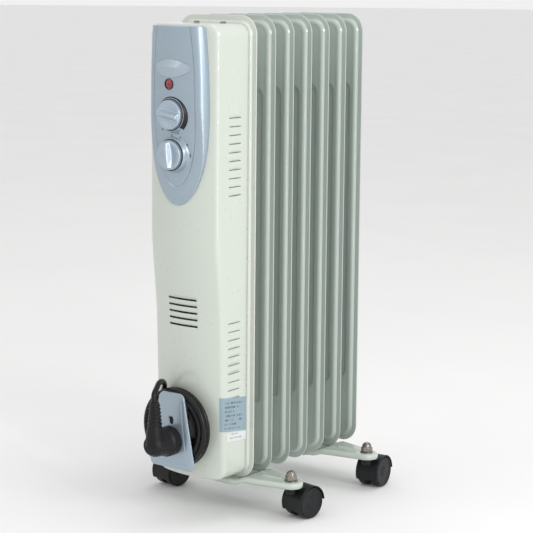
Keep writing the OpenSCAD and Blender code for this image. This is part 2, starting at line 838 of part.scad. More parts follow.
// Two round pins through the winder's plate
module plug_pins() {
  color("#c9cdd0") placed() for (sx = [-1, 1]) {
    y_bar(sx * pin_x, plug_z, pin_r, plug_face, plug_face + 17);
    translate([sx * pin_x, plug_face + 17, plug_z]) sphere(r = pin_r);
  }
}

// Two blank stickers low on the right side of the housing
module rating_label() {
  color("#b9c9d8") placed() {
    translate([housing_w / 2, housing_back - 26, housing_z0 + 84]) rotate([-9, 0, 0])
      translate([0, -22, -19]) cube([0.2, 44, 38]);
    translate([housing_w / 2, housing_back - 22, housing_z0 + 54]) rotate([-9, 0, 0])
      translate([0, -18, -5]) cube([0.2, 36, 10]);
  }
}

// ---- Feet ----

// A foot seen from above: round ends at the stems, wider under the fins
module foot_plan(half_y, inset) {
  hull() {
    for (sx = [-1, 1]) {
      translate([sx * stem_x, 0]) circle(r = foot_end_r - inset);
      translate([sx * 34, half_y - 12]) circle(r = 12 - inset);
      translate([sx * 34, 12 - half_y]) circle(r = 12 - inset);
    }
  }
}

// A foot seen from the front: low under the fins, stepped up to the stems
module foot_profile(top, depth) {
  z0 = foot_mid_z - top;
  z1 = foot_end_z - top;
  rotate([90, 0, 0]) linear_extrude(height = 80, center = true)
    polygon([[-140, z1], [-54, z1], [-41, z0], [41, z0], [54, z1], [140, z1],
      [140, z1 - depth], [54, z1 - depth], [41, z0 - depth], [-41, z0 - depth],
      [-54, z1 - depth], [-140, z1 - depth]]);
}

// Pressed foot with a turned down rim, pressed ribs and holes for the clamp and the stems
module foot(k) {
  placed() translate([0, foot_y[k], 0]) difference() {
    union() {
      difference() {
        intersection() {
          linear_extrude(height = foot_end_z + 10) foot_plan(foot_half_y[k], 0);
          foot_profile(0, rim_drop);
        }
        intersection() {
          linear_extrude(height = foot_end_z + 10) foot_plan(foot_half_y[k], foot_sheet);
          foot_profile(foot_sheet, rim_drop);
        }
      }
      for (sx = [-1, 1]) {
        intersection() {
          union() {
            translate([sx * 78 - 12, 0, foot_end_z - 2.6]) rotate([0, 90, 0])
              cylinder(r = 4.4, h = 24);
            translate([sx * 78 - 12, 0, foot_end_z - 2.6]) sphere(r = 4.4);
            translate([sx * 78 + 12, 0, foot_end_z - 2.6]) sphere(r = 4.4);
          }
          translate([sx * 78 - 20, -10, foot_end_z - 1]) cube([40, 20, 5]);
        }
      }
    }
    for (sx = [-1, 1]) {
      translate([sx * stem_x, 0, 20]) cylinder(r = stem_r, h = 60);
      translate([sx * clamp_x, clamp_y[k] - foot_y[k], 20]) cylinder(r = clamp_rod, h = 60);
    }
  }
}

module front_foot() { color("#cfd9cf") foot(0); }
module rear_foot() { color("#cfd9cf") foot(1); }

// U shaped rods over the bottom header, one for each foot
module foot_clamps() {
  color("#c9cdd0") placed() for (y = clamp_y) {
    for (sx = [-1, 1]) {
      translate([sx * clamp_x, y, foot_mid_z - 12]) cylinder(r = clamp_rod, h = header_low - foot_mid_z + 12);
    }
    translate([0, y, header_low]) rotate([90, 0, 0]) rotate_extrude(angle = 180)
      translate([clamp_x, 0]) circle(r = clamp_rod);
  }
}

// Wing nuts under the feet
module clamp_nuts() {
  color("#c9cdd0") placed() for (y = clamp_y, sx = [-1, 1]) {
    translate([sx * clamp_x, y, foot_mid_z - foot_sheet - 6]) difference() {
      union() {
        cylinder(r = 5.6, h = 6);
        translate([-1, -10, -3]) cube([2, 20, 7]);
      }
      translate([0, 0, -5]) cylinder(r = clamp_rod, h = 20);
    }
  }
}

module at_castor(sx, k, turn) {
  placed() translate([sx * stem_x, foot_y[k], 0]) rotate([0, 0, turn]) children();
}

// Threaded studs with a collar, fixed to the feet
module castor_stems() {
  color("#c9cdd0") for (sx = [-1, 1], k = [0, 1]) {
    at_castor(sx, k, 0) {
      translate([0, 0, hood_top - 8]) cylinder(r = stem_r, h = foot_end_z + 9 - hood_top + 8);
      translate([0, 0, foot_end_z - foot_sheet - 1.6]) cylinder(r = 7, h = 1.6);
    }
  }
}

// Flanged acorn nuts on top of the feet
module dome_nuts() {
  color("#c9cdd0") for (sx = [-1, 1], k = [0, 1]) {
    at_castor(sx, k, 0) translate([0, 0, foot_end_z]) difference() {
      union() {
        cylinder(r = 8.6, h = 1.4);
        cylinder(r = 7.5, h = 7, $fn = 6);
        translate([0, 0, 7.4]) sphere(r = 6.2);
      }
      translate([0, 0, -1]) cylinder(r = stem_r, h = 10);
    }
  }
}

// ---- Castors ----

// Hood over both wheels, with the web between them and the socket for the stem
module hood() {
  socket_r = stem_r + 2.6;
  difference() {
    union() {
      translate([0, castor_trail, wheel_r]) rotate([90, 0, 90])
        translate([0, 0, -wheel_out - 0.2]) linear_extrude(height = 2 * wheel_out + 0.4)
          difference() {
            circle(r = hood_r);
            circle(r = hood_in);
            polygon([[-40, -9], [-8, -9], [0, 2], [40, 2], [40, -40], [-40, -40]]);
          }
      translate([0, castor_trail, wheel_r]) rotate([90, 0, 90])
        translate([0, 0, -2.2]) linear_extrude(height = 4.4) intersection() {
          circle(r = hood_r - 0.5);
          polygon([[-40, -3], [-5, -6], [5, -6], [7, 0], [7, 40], [-40, 40]]);
        }
      translate([0, castor_trail, wheel_r]) rotate([0, 90, 0])
        cylinder(r = 6, h = 2 * wheel_in - 0.6, center = true);
      difference() {
        union() {
          translate([-7, -socket_r + 1, hood_top - 9]) cube([14, castor_trail, 9]);
          translate([0, 0, hood_top - 9.3]) cylinder(r = socket_r, h = 9.3);
        }
        translate([0, castor_trail, wheel_r]) rotate([0, 90, 0])
          cylinder(r = hood_in, h = 60, center = true);
      }
      translate([0, 0, hood_top - eps]) cylinder(r = 8.5, h = foot_end_z - foot_sheet - 1.9 - hood_top);
    }
    translate([0, 0, hood_top - 8.2]) cylinder(r = stem_r + 0.06, h = 40);
    translate([0, castor_trail, wheel_r]) rotate([0, 90, 0])
      cylinder(r = axle_r, h = 30, center = true);
  }
}

module castor_axle() {
  translate([0, castor_trail, wheel_r]) rotate([0, 90, 0])
    cylinder(r = axle_r, h = 2 * wheel_out - 4.6, center = true);
}

// One wheel: closed outer face, hollow towards the web, hub on the axle
module wheel(side) {
  bore = axle_r + 0.06;
  translate([0, castor_trail, wheel_r]) rotate([0, side * 90, 0]) rotate_extrude()
    polygon([[0, wheel_out - 2], [bore, wheel_out - 2], [bore, wheel_in], [6, wheel_in],
      [6, wheel_out - 3.3], [wheel_r - 3.2, wheel_out - 3.3], [wheel_r - 3.2, wheel_in + 0.4],
      [wheel_r - 0.6, wheel_in + 0.4], [wheel_r, wheel_in + 1], [wheel_r, wheel_out - 1.6],
      [wheel_r - 1, wheel_out - 0.4], [wheel_r - 2.4, wheel_out], [wheel_r - 3.4, wheel_out - 0.6],
      [0, wheel_out - 0.6]]);
}

module hood_front_right() { color("#1d1e22") at_castor(1, 0, swivel_rest[0]) hood(); }
module hood_front_left() { color("#1d1e22") at_castor(-1, 0, swivel_rest[1]) hood(); }
module hood_rear_right() { color("#1d1e22") at_castor(1, 1, swivel_rest[2]) hood(); }
module hood_rear_left() { color("#1d1e22") at_castor(-1, 1, swivel_rest[3]) hood(); }
module axle_front_right() { color("#c9cdd0") at_castor(1, 0, swivel_rest[0]) castor_axle(); }
module axle_front_left() { color("#c9cdd0") at_castor(-1, 0, swivel_rest[1]) castor_axle(); }
module axle_rear_right() { color("#c9cdd0") at_castor(1, 1, swivel_rest[2]) castor_axle(); }
module axle_rear_left() { color("#c9cdd0") at_castor(-1, 1, swivel_rest[3]) castor_axle(); }
module wheel_front_right_a() { color("#1d1e22") at_castor(1, 0, swivel_rest[0]) wheel(1); }
module wheel_front_right_b() { color("#1d1e22") at_castor(1, 0, swivel_rest[0]) wheel(-1); }
module wheel_front_left_a() { color("#1d1e22") at_castor(-1, 0, swivel_rest[1]) wheel(1); }
module wheel_front_left_b() { color("#1d1e22") at_castor(-1, 0, swivel_rest[1]) wheel(-1); }
module wheel_rear_right_a() { color("#1d1e22") at_castor(1, 1, swivel_rest[2]) wheel(1); }
module wheel_rear_right_b() { color("#1d1e22") at_castor(1, 1, swivel_rest[2]) wheel(-1); }
module wheel_rear_left_a() { color("#1d1e22") at_castor(-1, 1, swivel_rest[3]) wheel(1); }
module wheel_rear_left_b() { color("#1d1e22") at_castor(-1, 1, swivel_rest[3]) wheel(-1); }

fin_1();
fin_2();
fin_3();
fin_4();
fin_5();
fin_6();
fin_7();
header_nipples();
header_caps();
oil_fill_plug();
element_flange();
heating_elements();
element_terminals();
housing_back_plate();
control_housing();
housing_screws();
component_bracket();
thermostat_body();
power_switch_body();
indicator_lamp();
lamp_bezel();
terminal_block();
thermal_cutout();
wiring();
control_panel();
panel_badge();
thermostat_knob();
thermostat_shaft();
power_knob();
power_shaft();
cord_winder();
cord_gland();
cord_lead();
cord_coil();
cord_tail();
mains_plug();
plug_pins();
rating_label();
front_foot();
rear_foot();
foot_clamps();
clamp_nuts();
castor_stems();
dome_nuts();
hood_front_right();
hood_front_left();
hood_rear_right();
hood_rear_left();
axle_front_right();
axle_front_left();
axle_rear_right();
axle_rear_left();
wheel_front_right_a();
wheel_front_right_b();
wheel_front_left_a();
wheel_front_left_b();
wheel_rear_right_a();
wheel_rear_right_b();
wheel_rear_left_a();
wheel_rear_left_b();
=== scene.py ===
import json
import math

import bmesh
import bpy
import numpy as np
from mathutils import Matrix, Vector


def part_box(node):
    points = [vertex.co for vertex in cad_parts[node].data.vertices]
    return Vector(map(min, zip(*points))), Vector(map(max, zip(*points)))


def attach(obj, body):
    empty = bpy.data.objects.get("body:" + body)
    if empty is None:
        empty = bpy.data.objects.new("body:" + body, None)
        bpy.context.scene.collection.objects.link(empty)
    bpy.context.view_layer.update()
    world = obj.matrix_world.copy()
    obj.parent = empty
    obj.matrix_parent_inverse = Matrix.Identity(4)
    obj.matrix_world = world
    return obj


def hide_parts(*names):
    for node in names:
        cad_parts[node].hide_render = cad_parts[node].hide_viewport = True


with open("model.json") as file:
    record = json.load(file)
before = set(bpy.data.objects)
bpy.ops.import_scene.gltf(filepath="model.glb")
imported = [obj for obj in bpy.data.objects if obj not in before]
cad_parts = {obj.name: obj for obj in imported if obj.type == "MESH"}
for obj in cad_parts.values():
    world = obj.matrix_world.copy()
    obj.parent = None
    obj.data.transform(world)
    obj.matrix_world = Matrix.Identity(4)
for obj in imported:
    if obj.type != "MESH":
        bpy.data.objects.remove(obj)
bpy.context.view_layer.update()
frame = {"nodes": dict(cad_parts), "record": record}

# ---------------------------------------------------------------- sizes from the frame
# Everything is worked out in millimetres with y measured from the middle fin, then moved
# back by shift_y when a mesh is written.

MM = 0.001
shift_y = (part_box("fin_4")[0][1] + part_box("fin_4")[1][1]) / 2 / MM


def box_mm(node):
    """The low and high corners of a CAD node in millimetres, y measured from the middle fin."""
    low, high = (np.array(corner, float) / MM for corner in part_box(node))
    low[1] -= shift_y
    high[1] -= shift_y
    return low, high


fin_low, fin_high = box_mm("fin_4")
fin_half, fin_z0, fin_z1 = fin_high[0], fin_low[2], fin_high[2]
fin_pitch = (fin_high[1] - fin_low[1])
fin_count = 7
middle_fin = fin_count // 2
fin_corner = 24.0
rim_in = 11.0
channel_r = 4.8
slab_half = channel_r - 0.5
flange_half = 0.8
header_low, header_high = fin_z0 + 40, fin_z1 - 54
slot_middles = (-34.0, 0.0, 34.0)
slot_half = 11.0
slot_low, slot_high = fin_z0 + 88, fin_z1 - 91

house_low, house_high = box_mm("control_housing")
house_half, house_z0, house_z1 = house_high[0], house_low[2], house_high[2]
house_back, crown_y = house_high[1], house_low[1]
front_r = 130.0
house_sheet, foot_sheet = 1.2, 2.0
knee_z, step_z = house_z0 + 298, house_z0 + 208
knee_slope, foot_slope = 9 / 90, 6 / 208

panel_low, panel_high = box_mm("control_panel")
panel_top, panel_tip = panel_high[2], panel_low[2]
panel_mid = house_z1 - 101.5
panel_r, panel_crown = 60.0, crown_y - 13
panel_wide, field_wide, field_r, field_tall = 44.0, 31.5, 90.0, 92.0
lean_start, lean_end, lean_height = 7.0, 2.4, 55.0
seat_y = panel_crown - 0.4
knob_low, knob_high = box_mm("thermostat_knob")
knob_r = (knob_high[2] - knob_low[2]) / 2
thermostat_z = house_z1 - 108.5
power_z = thermostat_z - 48.5
thermostat_points, power_points = 171, 96
lamp_x, lamp_z = -3.0, house_z1 - 72.0
badge_z = house_z1 - 53.0

winder_z = house_z0 + 66
plate_back = box_mm("cord_winder")[0][1] + 3
plate_y = plate_back - 3
plate_top, plate_bottom = winder_z + 46, winder_z - 50
plug_z = winder_z - 14
neck_y = plate_y - 30
neck_top = plug_z + 54

cord_d = 6.8
coil_r = 40.0
row_step = cord_d - 0.1
row_y = [plate_back + 17.9 - row_step * k for k in range(3)]

wheel_r = 20.0
hood_in, hood_r = wheel_r + 0.8, wheel_r + 2.3
trail = 22.0
foot_end_z = 50.0
foot_mid_z, foot_end_r, foot_rim = foot_end_z - 3.6, 15.0, 7.0

joints = {j["name"]: j for j in frame["record"]["behaviour"]["joints"]}
corners = ("front_right", "front_left", "rear_right", "rear_left")


# ---------------------------------------------------------------- camera

camera_data = bpy.data.cameras.new("camera")
camera = bpy.data.objects.new("camera", camera_data)
bpy.context.scene.collection.objects.link(camera)
bpy.context.scene.camera = camera
camera_data.lens = 113.4
camera_data.sensor_width = 36.0
camera_data.shift_y = -0.08
camera_data.clip_end = 60.0
azimuth, elevation = math.radians(37.472), math.radians(8.272)
away = Vector((math.sin(azimuth) * math.cos(elevation),
               -math.cos(azimuth) * math.cos(elevation), math.sin(elevation)))
turn = (-away).to_track_quat("-Z", "Y").to_matrix()
turn = turn @ Matrix.Rotation(math.radians(0.526), 3, "Z")
camera.matrix_world = Matrix.Translation(
    (1.3157, -1.7269 + shift_y * MM, 0.6692)) @ turn.to_4x4()


# ---------------------------------------------------------------- finishes

def node_of(tree, kind, **values):
    """Adds a shader node and sets its inputs by name, or its own settings where no input has it."""
    node = tree.nodes.new(kind)
    for name, value in values.items():
        words = name.replace("_", " ").title()
        if words in node.inputs:
            node.inputs[words].default_value = value
        else:
            setattr(node, name, value)
    return node


def new_finish(name, metallic=0.0, **constants):
    """A node material with its Principled shader; constants sit on the shader's own sockets."""
    material = bpy.data.materials.new(name)
    material.use_nodes = True
    shader = material.node_tree.nodes["Principled BSDF"]
    shader.inputs["Metallic"].default_value = metallic
    for socket, value in constants.items():
        shader.inputs[socket.replace("_", " ")].default_value = value
    return material, material.node_tree, shader


def spots(tree, scale, detail=3.0, stretch=(1, 1, 1), rough=0.5):
    """Noise on Object coordinates, scale in features per metre, stretched along the axes."""
    place = tree.nodes.new("ShaderNodeTexCoord")
    mapping = tree.nodes.new("ShaderNodeMapping")
    mapping.inputs["Scale"].default_value = stretch
    noise = node_of(tree, "ShaderNodeTexNoise", scale=scale, detail=detail, roughness=rough)
    tree.links.new(place.outputs["Object"], mapping.inputs["Vector"])
    tree.links.new(mapping.outputs["Vector"], noise.inputs["Vector"])
    return noise.outputs["Fac"]


def spread(tree, value, low, high, start=0.3, end=0.7):
    """Maps a value from start..end to low..high."""
    ramp = tree.nodes.new("ShaderNodeMapRange")
    for socket, number in zip(("From Min", "From Max", "To Min", "To Max"), (start, end, low, high)):
        ramp.inputs[socket].default_value = number
    tree.links.new(value, ramp.inputs["Value"])
    return ramp.outputs["Result"]


def blend(tree, factor, first, second):
    """Mixes two colours or sockets by a factor."""
    mix = tree.nodes.new("ShaderNodeMix")
    mix.data_type = "RGBA"
    tree.links.new(factor, mix.inputs["Factor"])
    for socket, value in ((mix.inputs[6], first), (mix.inputs[7], second)):
        if hasattr(value, "is_linked"):
            tree.links.new(value, socket)
        else:
            socket.default_value = (*value, 1.0)
    return mix.outputs[2]


def bumps(tree, shader, heights):
    """Chains bumps on the shader's normal; each is (value, height in millimetres)."""
    last = None
    for value, height in heights:
        bump = tree.nodes.new("ShaderNodeBump")
        bump.inputs["Strength"].default_value = 0.88
        bump.inputs["Distance"].default_value = height * MM
        tree.links.new(value, bump.inputs["Height"])
        if last is not None:
            tree.links.new(last, bump.inputs["Normal"])
        last = bump.outputs["Normal"]
    tree.links.new(last, shader.inputs["Normal"])


def enamel(name, light, dark, gloss=0.30):
    """Sprayed and baked enamel: a slow drift of tone, a faint orange peel and dust in the gloss."""
    material, tree, shader = new_finish(name, Coat_Weight=0.7, Coat_Roughness=0.07)
    drift = spread(tree, spots(tree, 4, 1, (1, 1, 0.4)), 0, 1, 0.3, 0.7)
    fleck = spread(tree, spots(tree, 900, 2), 0, 0.04, 0.55, 0.75)
    tone = blend(tree, drift, light, dark)
    tree.links.new(blend(tree, fleck, tone, tuple(0.86 * c for c in dark)), shader.inputs["Base Color"])
    tree.links.new(spread(tree, spots(tree, 60, 3), gloss - 0.01, gloss + 0.02), shader.inputs["Roughness"])
    bumps(tree, shader, [(spots(tree, 320, 1), 0.004), (spots(tree, 1500, 2), 0.0015)])
    return material


def silver_paint(name, light, dark, gloss=0.34):
    """Metallic lacquer on plastic: tiny flakes that change tone and gloss, on a slow drift."""
    material, tree, shader = new_finish(name, metallic=0.55, Coat_Weight=0.25, Coat_Roughness=0.2)
    flake = spread(tree, spots(tree, 2600, 1), 0, 1, 0.35, 0.65)
    drift = spread(tree, spots(tree, 12, 2), 0, 0.35, 0.3, 0.7)
    tone = blend(tree, drift, light, dark)
    tree.links.new(blend(tree, flake, tone, tuple(0.93 * c for c in light)), shader.inputs["Base Color"])
    tree.links.new(spread(tree, flake, gloss - 0.03, gloss + 0.05, 0, 1), shader.inputs["Roughness"])
    bumps(tree, shader, [(spots(tree, 1800, 2), 0.004)])
    return material


def moulded(name, tone, gloss, grain=0.02, grain_scale=1400, sheen=0.02, coat=0.0):
    """Moulded plastic or rubber: a fine spark-eroded grain, with handling marks in the gloss."""
    material, tree, shader = new_finish(name, Coat_Weight=coat, Coat_Roughness=0.15,
                                        Specular_IOR_Level=0.25)
    drift = spread(tree, spots(tree, 40, 3), 0, 1)
    lighter = tuple(c + sheen for c in tone)
    tree.links.new(blend(tree, drift, tone, lighter), shader.inputs["Base Color"])
    tree.links.new(spread(tree, spots(tree, 90, 4), gloss - 0.06, gloss + 0.08), shader.inputs["Roughness"])
    bumps(tree, shader, [(spots(tree, grain_scale, 2), grain)])
    return material


def bare_metal(name, tone, gloss, stretch=(1, 1, 1), scratch=0.004, tint=0.85):
    """Plated or turned metal: fine drawn marks along one axis and clouds in the gloss."""
    material, tree, shader = new_finish(name, metallic=1.0)
    drift = spread(tree, spots(tree, 30, 4), 0, 1)
    tree.links.new(blend(tree, drift, tone, tuple(tint * c for c in tone)), shader.inputs["Base Color"])
    clouds = spread(tree, spots(tree, 150, 4, stretch), gloss - 0.05, gloss + 0.1)
    tree.links.new(clouds, shader.inputs["Roughness"])
    bumps(tree, shader, [(spots(tree, 1200, 3, stretch), scratch)])
    return material


def lens_red(name):
    """Clear red moulding over a dark lamp: a clouded red under a glossy coat."""
    material, tree, shader = new_finish(name, Coat_Weight=0.8, Coat_Roughness=0.03, IOR=1.49)
    shader.inputs["Roughness"].default_value = 0.12
    glow = spread(tree, spots(tree, 260, 2), 0, 1)
    tone = blend(tree, glow, (0.42, 0.012, 0.018), (0.16, 0.004, 0.008))
    tree.links.new(tone, shader.inputs["Base Color"])
    bumps(tree, shader, [(spots(tree, 500, 1), 0.02)])
    return material


def printed_film(name, paper, ink, rows, dense):
    """A blank rating label: rows of short grey strokes that stand for print, on its own UV map."""
    material, tree, shader = new_finish(name)
    place = tree.nodes.new("ShaderNodeUVMap")
    place.uv_map = "film"
    split = tree.nodes.new("ShaderNodeSeparateXYZ")
    tree.links.new(place.outputs["UV"], split.inputs["Vector"])

    def sums(operation, first, second=None):
        node = tree.nodes.new("ShaderNodeMath")
        node.operation = operation
        for socket, value in zip(node.inputs, (first, second)):
            if value is None:
                continue
            if hasattr(value, "is_linked"):
                tree.links.new(value, socket)
            else:
                socket.default_value = value
        return node.outputs[0]

    row = sums("MULTIPLY", split.outputs["Y"], rows)
    line = sums("GREATER_THAN", sums("FRACT", row), 0.55)
    number = sums("FLOOR", row)
    strokes = tree.nodes.new("ShaderNodeCombineXYZ")
    tree.links.new(sums("MULTIPLY", split.outputs["X"], dense), strokes.inputs["X"])
    tree.links.new(sums("MULTIPLY", number, 7.3), strokes.inputs["Y"])
    noise = node_of(tree, "ShaderNodeTexNoise", scale=1.0, detail=1.0)
    tree.links.new(strokes.outputs["Vector"], noise.inputs["Vector"])
    stroke = sums("GREATER_THAN", noise.outputs["Fac"], 0.5)
    ends = tree.nodes.new("ShaderNodeTexWhiteNoise")
    ends.noise_dimensions = "1D"
    tree.links.new(number, ends.inputs["W"])
    row_end = sums("ADD", sums("MULTIPLY", ends.outputs["Value"], 0.35), 0.55)
    mask = sums("MULTIPLY", line, stroke)
    for test in (sums("LESS_THAN", split.outputs["X"], row_end),
                 sums("GREATER_THAN", split.outputs["X"], 0.14),
                 sums("GREATER_THAN", split.outputs["Y"], 0.08),
                 sums("LESS_THAN", split.outputs["Y"], 0.93)):
        mask = sums("MULTIPLY", mask, test)
    faded = sums("MULTIPLY", mask, 0.75)
    drift = spread(tree, spots(tree, 40, 2), 0, 1)
    tone = blend(tree, drift, paper, tuple(0.94 * c for c in paper))
    tree.links.new(blend(tree, faded, tone, ink), shader.inputs["Base Color"])
    tree.links.new(spread(tree, spots(tree, 200, 2), 0.42, 0.55), shader.inputs["Roughness"])
    bumps(tree, shader, [(spots(tree, 900, 2), 0.006)])
    return material


# The next enamel, for fins 2 to 7, their necks and the header caps, is a darker copy of fin 1's end enamel:
# painted shade, standing for the shade that falls in the gaps between the fins.
fin_enamel_painted_shade = enamel("fin_enamel_painted_shade", (0.43, 0.49, 0.45), (0.42, 0.475, 0.44), 0.22)
end_enamel = enamel("end_enamel", (0.60, 0.63, 0.575), (0.585, 0.615, 0.56), 0.28)
housing_enamel = enamel("housing_enamel", (0.55, 0.595, 0.535), (0.535, 0.58, 0.52), 0.28)
foot_enamel = enamel("foot_enamel", (0.49, 0.545, 0.49), (0.47, 0.525, 0.47), 0.26)
panel_silver = silver_paint("panel_silver", (0.36, 0.44, 0.51), (0.345, 0.42, 0.49), 0.3)
badge_silver = silver_paint("badge_silver", (0.40, 0.47, 0.54), (0.38, 0.45, 0.52), 0.34)
knob_silver = silver_paint("knob_silver", (0.42, 0.50, 0.58), (0.40, 0.48, 0.56), 0.28)
dial_ink = moulded("dial_ink", (0.006, 0.006, 0.008), 0.4, 0.002)
bezel_black = moulded("bezel_black", (0.008, 0.008, 0.010), 0.18, 0.002, coat=0.5)
castor_black = moulded("castor_black", (0.007, 0.0075, 0.009), 0.42, 0.010, 1600, 0.006)
plug_black = moulded("plug_black", (0.006, 0.006, 0.007), 0.42, 0.012, 1500, 0.005)
cord_black = moulded("cord_black", (0.006, 0.006, 0.007), 0.30, 0.006, 700, 0.005)
nickel = bare_metal("nickel", (0.31, 0.29, 0.26), 0.09)
zinc = bare_metal("zinc", (0.62, 0.63, 0.64), 0.34, (1, 1, 6))
brass = bare_metal("brass", (0.72, 0.55, 0.26), 0.25)
element_steel = bare_metal("element_steel", (0.32, 0.29, 0.27), 0.45, (8, 1, 8))
ivory = moulded("ivory", (0.62, 0.58, 0.47), 0.45)
switch_brown = moulded("switch_brown", (0.10, 0.065, 0.045), 0.42)
sleeve_brown = moulded("sleeve_brown", (0.22, 0.10, 0.04), 0.4)
lamp_red = lens_red("lamp_red")
rating_film = printed_film("rating_film", (0.26, 0.35, 0.40), (0.05, 0.07, 0.11), 8.0, 26.0)
bar_film = printed_film("bar_film", (0.66, 0.67, 0.68), (0.12, 0.13, 0.18), 2.0, 44.0)


# ---------------------------------------------------------------- meshes

def patch(points, close_u=False, close_v=False):
    """Quads over a grid of points (nu, nv, 3), closed round u or v where asked."""
    nu, nv = points.shape[:2]
    index = np.arange(nu * nv).reshape(nu, nv)
    if close_u:
        index = np.vstack([index, index[:1]])
    if close_v:
        index = np.hstack([index, index[:, :1]])
    quads = np.stack([index[:-1, :-1], index[1:, :-1], index[1:, 1:], index[:-1, 1:]], axis=-1)
    return points.reshape(-1, 3), quads.reshape(-1, 4)


def piece(name, patches, finish, body, stands_for=(), sharp=38, closed=True, weld=0.002):
    """Joins patches into one mesh in the row frame, welds their seams and turns faces outwards."""
    points = np.vstack([p for p, _ in patches])
    starts = np.cumsum([0] + [len(p) for p, _ in patches[:-1]])
    quads = np.vstack([q + s for (_, q), s in zip(patches, starts)])
    points = (points + [0, shift_y, 0]) * MM
    mesh = bpy.data.meshes.new(name)
    mesh.from_pydata(points.tolist(), [], quads.tolist())
    work = bmesh.new()
    work.from_mesh(mesh)
    bmesh.ops.remove_doubles(work, verts=work.verts, dist=weld * MM)
    bmesh.ops.dissolve_degenerate(work, edges=work.edges, dist=weld * MM * 0.5)
    if closed:
        bmesh.ops.recalc_face_normals(work, faces=work.faces)
    work.to_mesh(mesh)
    work.free()
    mesh.polygons.foreach_set("use_smooth", [True] * len(mesh.polygons))
    mesh.set_sharp_from_angle(angle=math.radians(sharp))
    mesh.materials.append(finish)
    made = bpy.data.objects.new(name, mesh)
    bpy.context.scene.collection.objects.link(made)
    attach(made, body)
    if stands_for:
        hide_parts(*stands_for)
    return made


def thickened(made, thickness, finish):
    """Gives an open sheet its thickness inwards, settles it into the mesh and paints it again."""
    solid = made.modifiers.new("sheet", "SOLIDIFY")
    solid.thickness = thickness * MM
    solid.offset = -1.0
    solid.use_even_offset = True
    bpy.context.view_layer.update()
    mesh = bpy.data.meshes.new_from_object(made.evaluated_get(bpy.context.evaluated_depsgraph_get()))
    made.modifiers.clear()
    made.data = mesh
    mesh.materials.clear()
    mesh.materials.append(finish)


def smooth_step(low, high, value):
    """0 below low, 1 above high, and a smooth cubic between."""
    t = np.clip((value - low) / (high - low), 0, 1)
    return t * t * (3 - 2 * t)


def soft_max(a, b, width):
    """The larger of two heights, with a round fillet of that width where they cross."""
    h = np.clip(0.5 + 0.5 * (a - b) / width, 0, 1)
    return b + (a - b) * h + width * h * (1 - h)


def samples(*stops):
    """Values that run through the stops; each is (value, steps from the value before it)."""
    out = [stops[0][0]]
    for (a, _), (b, n) in zip(stops[:-1], stops[1:]):
        out += list(np.linspace(a, b, n + 1)[1:])
    return np.array(out, float)


def rounded(corner_list, steps=5):
    """A 2D line through corners (a, b, radius), each rounded by an arc of that radius."""
    out = []
    for k, (a, b, radius) in enumerate(corner_list):
        here = np.array([a, b], float)
        if radius <= 0 or k in (0, len(corner_list) - 1):
            out.append(here)
            continue
        before, after = (np.array(corner_list[k + s][:2], float) - here for s in (-1, 1))
        before /= np.linalg.norm(before)
        after /= np.linalg.norm(after)
        half = math.acos(np.clip(before @ after, -1, 1)) / 2
        reach = radius / math.tan(half)
        middle = here + (before + after) / np.linalg.norm(before + after) * radius / math.sin(half)
        start, end = here + before * reach - middle, here + after * reach - middle
        a0 = math.atan2(start[1], start[0])
        sweep = (math.atan2(end[1], end[0]) - a0 + math.pi) % (2 * math.pi) - math.pi
        for t in np.linspace(0, 1, steps + 1):
            angle = a0 + sweep * t
            out.append(middle + radius * np.array([math.cos(angle), math.sin(angle)]))
    return np.array(out)


def lathe(profile, centre, axis="-y", around=64):
    """A profile of (radius, height) turned about an axis through centre; height runs along it."""
    angle = np.linspace(0, 2 * math.pi, around, endpoint=False)
    r, h = profile[:, 0][:, None], profile[:, 1][:, None]
    a, b, c = r * np.cos(angle), r * np.sin(angle), np.repeat(h, around, axis=1)
    columns = {"-y": (a, -c, b), "+y": (a, c, b), "+z": (a, b, c), "+x": (c, a, b)}[axis]
    return patch(np.stack(columns, axis=-1) + np.array(centre, float), close_v=True)


def rings(outline, spine, shares):
    """Rings of 2D points between an outline and its spine: share 1 is the outline, 0 the spine."""
    shares = np.array(shares)[:, None, None]
    return spine[None] + (outline - spine)[None] * shares


def upright_spine(outline, low, high):
    """The nearest points to an outline on an upright line at x = 0 between two heights."""
    return np.stack([np.zeros(len(outline)), np.clip(outline[:, 1], low, high)], axis=-1)


def arc(middle, radius, start, end, steps):
    """2D points round an arc, angles in degrees."""
    angle = np.radians(np.linspace(start, end, steps))
    return np.stack([middle[0] + radius * np.cos(angle), middle[1] + radius * np.sin(angle)], axis=-1)


def resampled(line, step):
    """A closed 2D line again with points about step apart."""
    loop = np.vstack([line, line[:1]])
    along = np.concatenate([[0], np.cumsum(np.linalg.norm(np.diff(loop, axis=0), axis=1))])
    at = np.linspace(0, along[-1], int(along[-1] / step), endpoint=False)
    return np.stack([np.interp(at, along, loop[:, k]) for k in (0, 1)], axis=-1)


def hull_of(points):
    """The corners of the convex outline round 2D points, anticlockwise."""
    ordered = sorted(map(tuple, np.round(points, 6)))

    def half(run):
        out = []
        for p in run:
            while len(out) > 1 and (
                (out[-1][0] - out[-2][0]) * (p[1] - out[-2][1])
                - (out[-1][1] - out[-2][1]) * (p[0] - out[-2][0])) <= 0:
                out.pop()
            out.append(p)
        return out[:-1]

    return np.array(half(ordered) + half(ordered[::-1]))


# ---------------------------------------------------------------- mains cord

def route(points, n):
    """A Catmull-Rom line through given points, n steps between neighbours."""
    p = np.vstack([points[:1], points, points[-1:]])
    out = []
    for k in range(len(points) - 1):
        a, b, c, d = p[k:k + 4]
        for t in np.arange(n) / n:
            out.append(0.5 * (2 * b + (c - a) * t + (2 * a - 5 * b + 4 * c - d) * t * t
                              + (3 * b - a - 3 * c + d) * t ** 3))
    out.append(points[-1])
    return np.array(out)


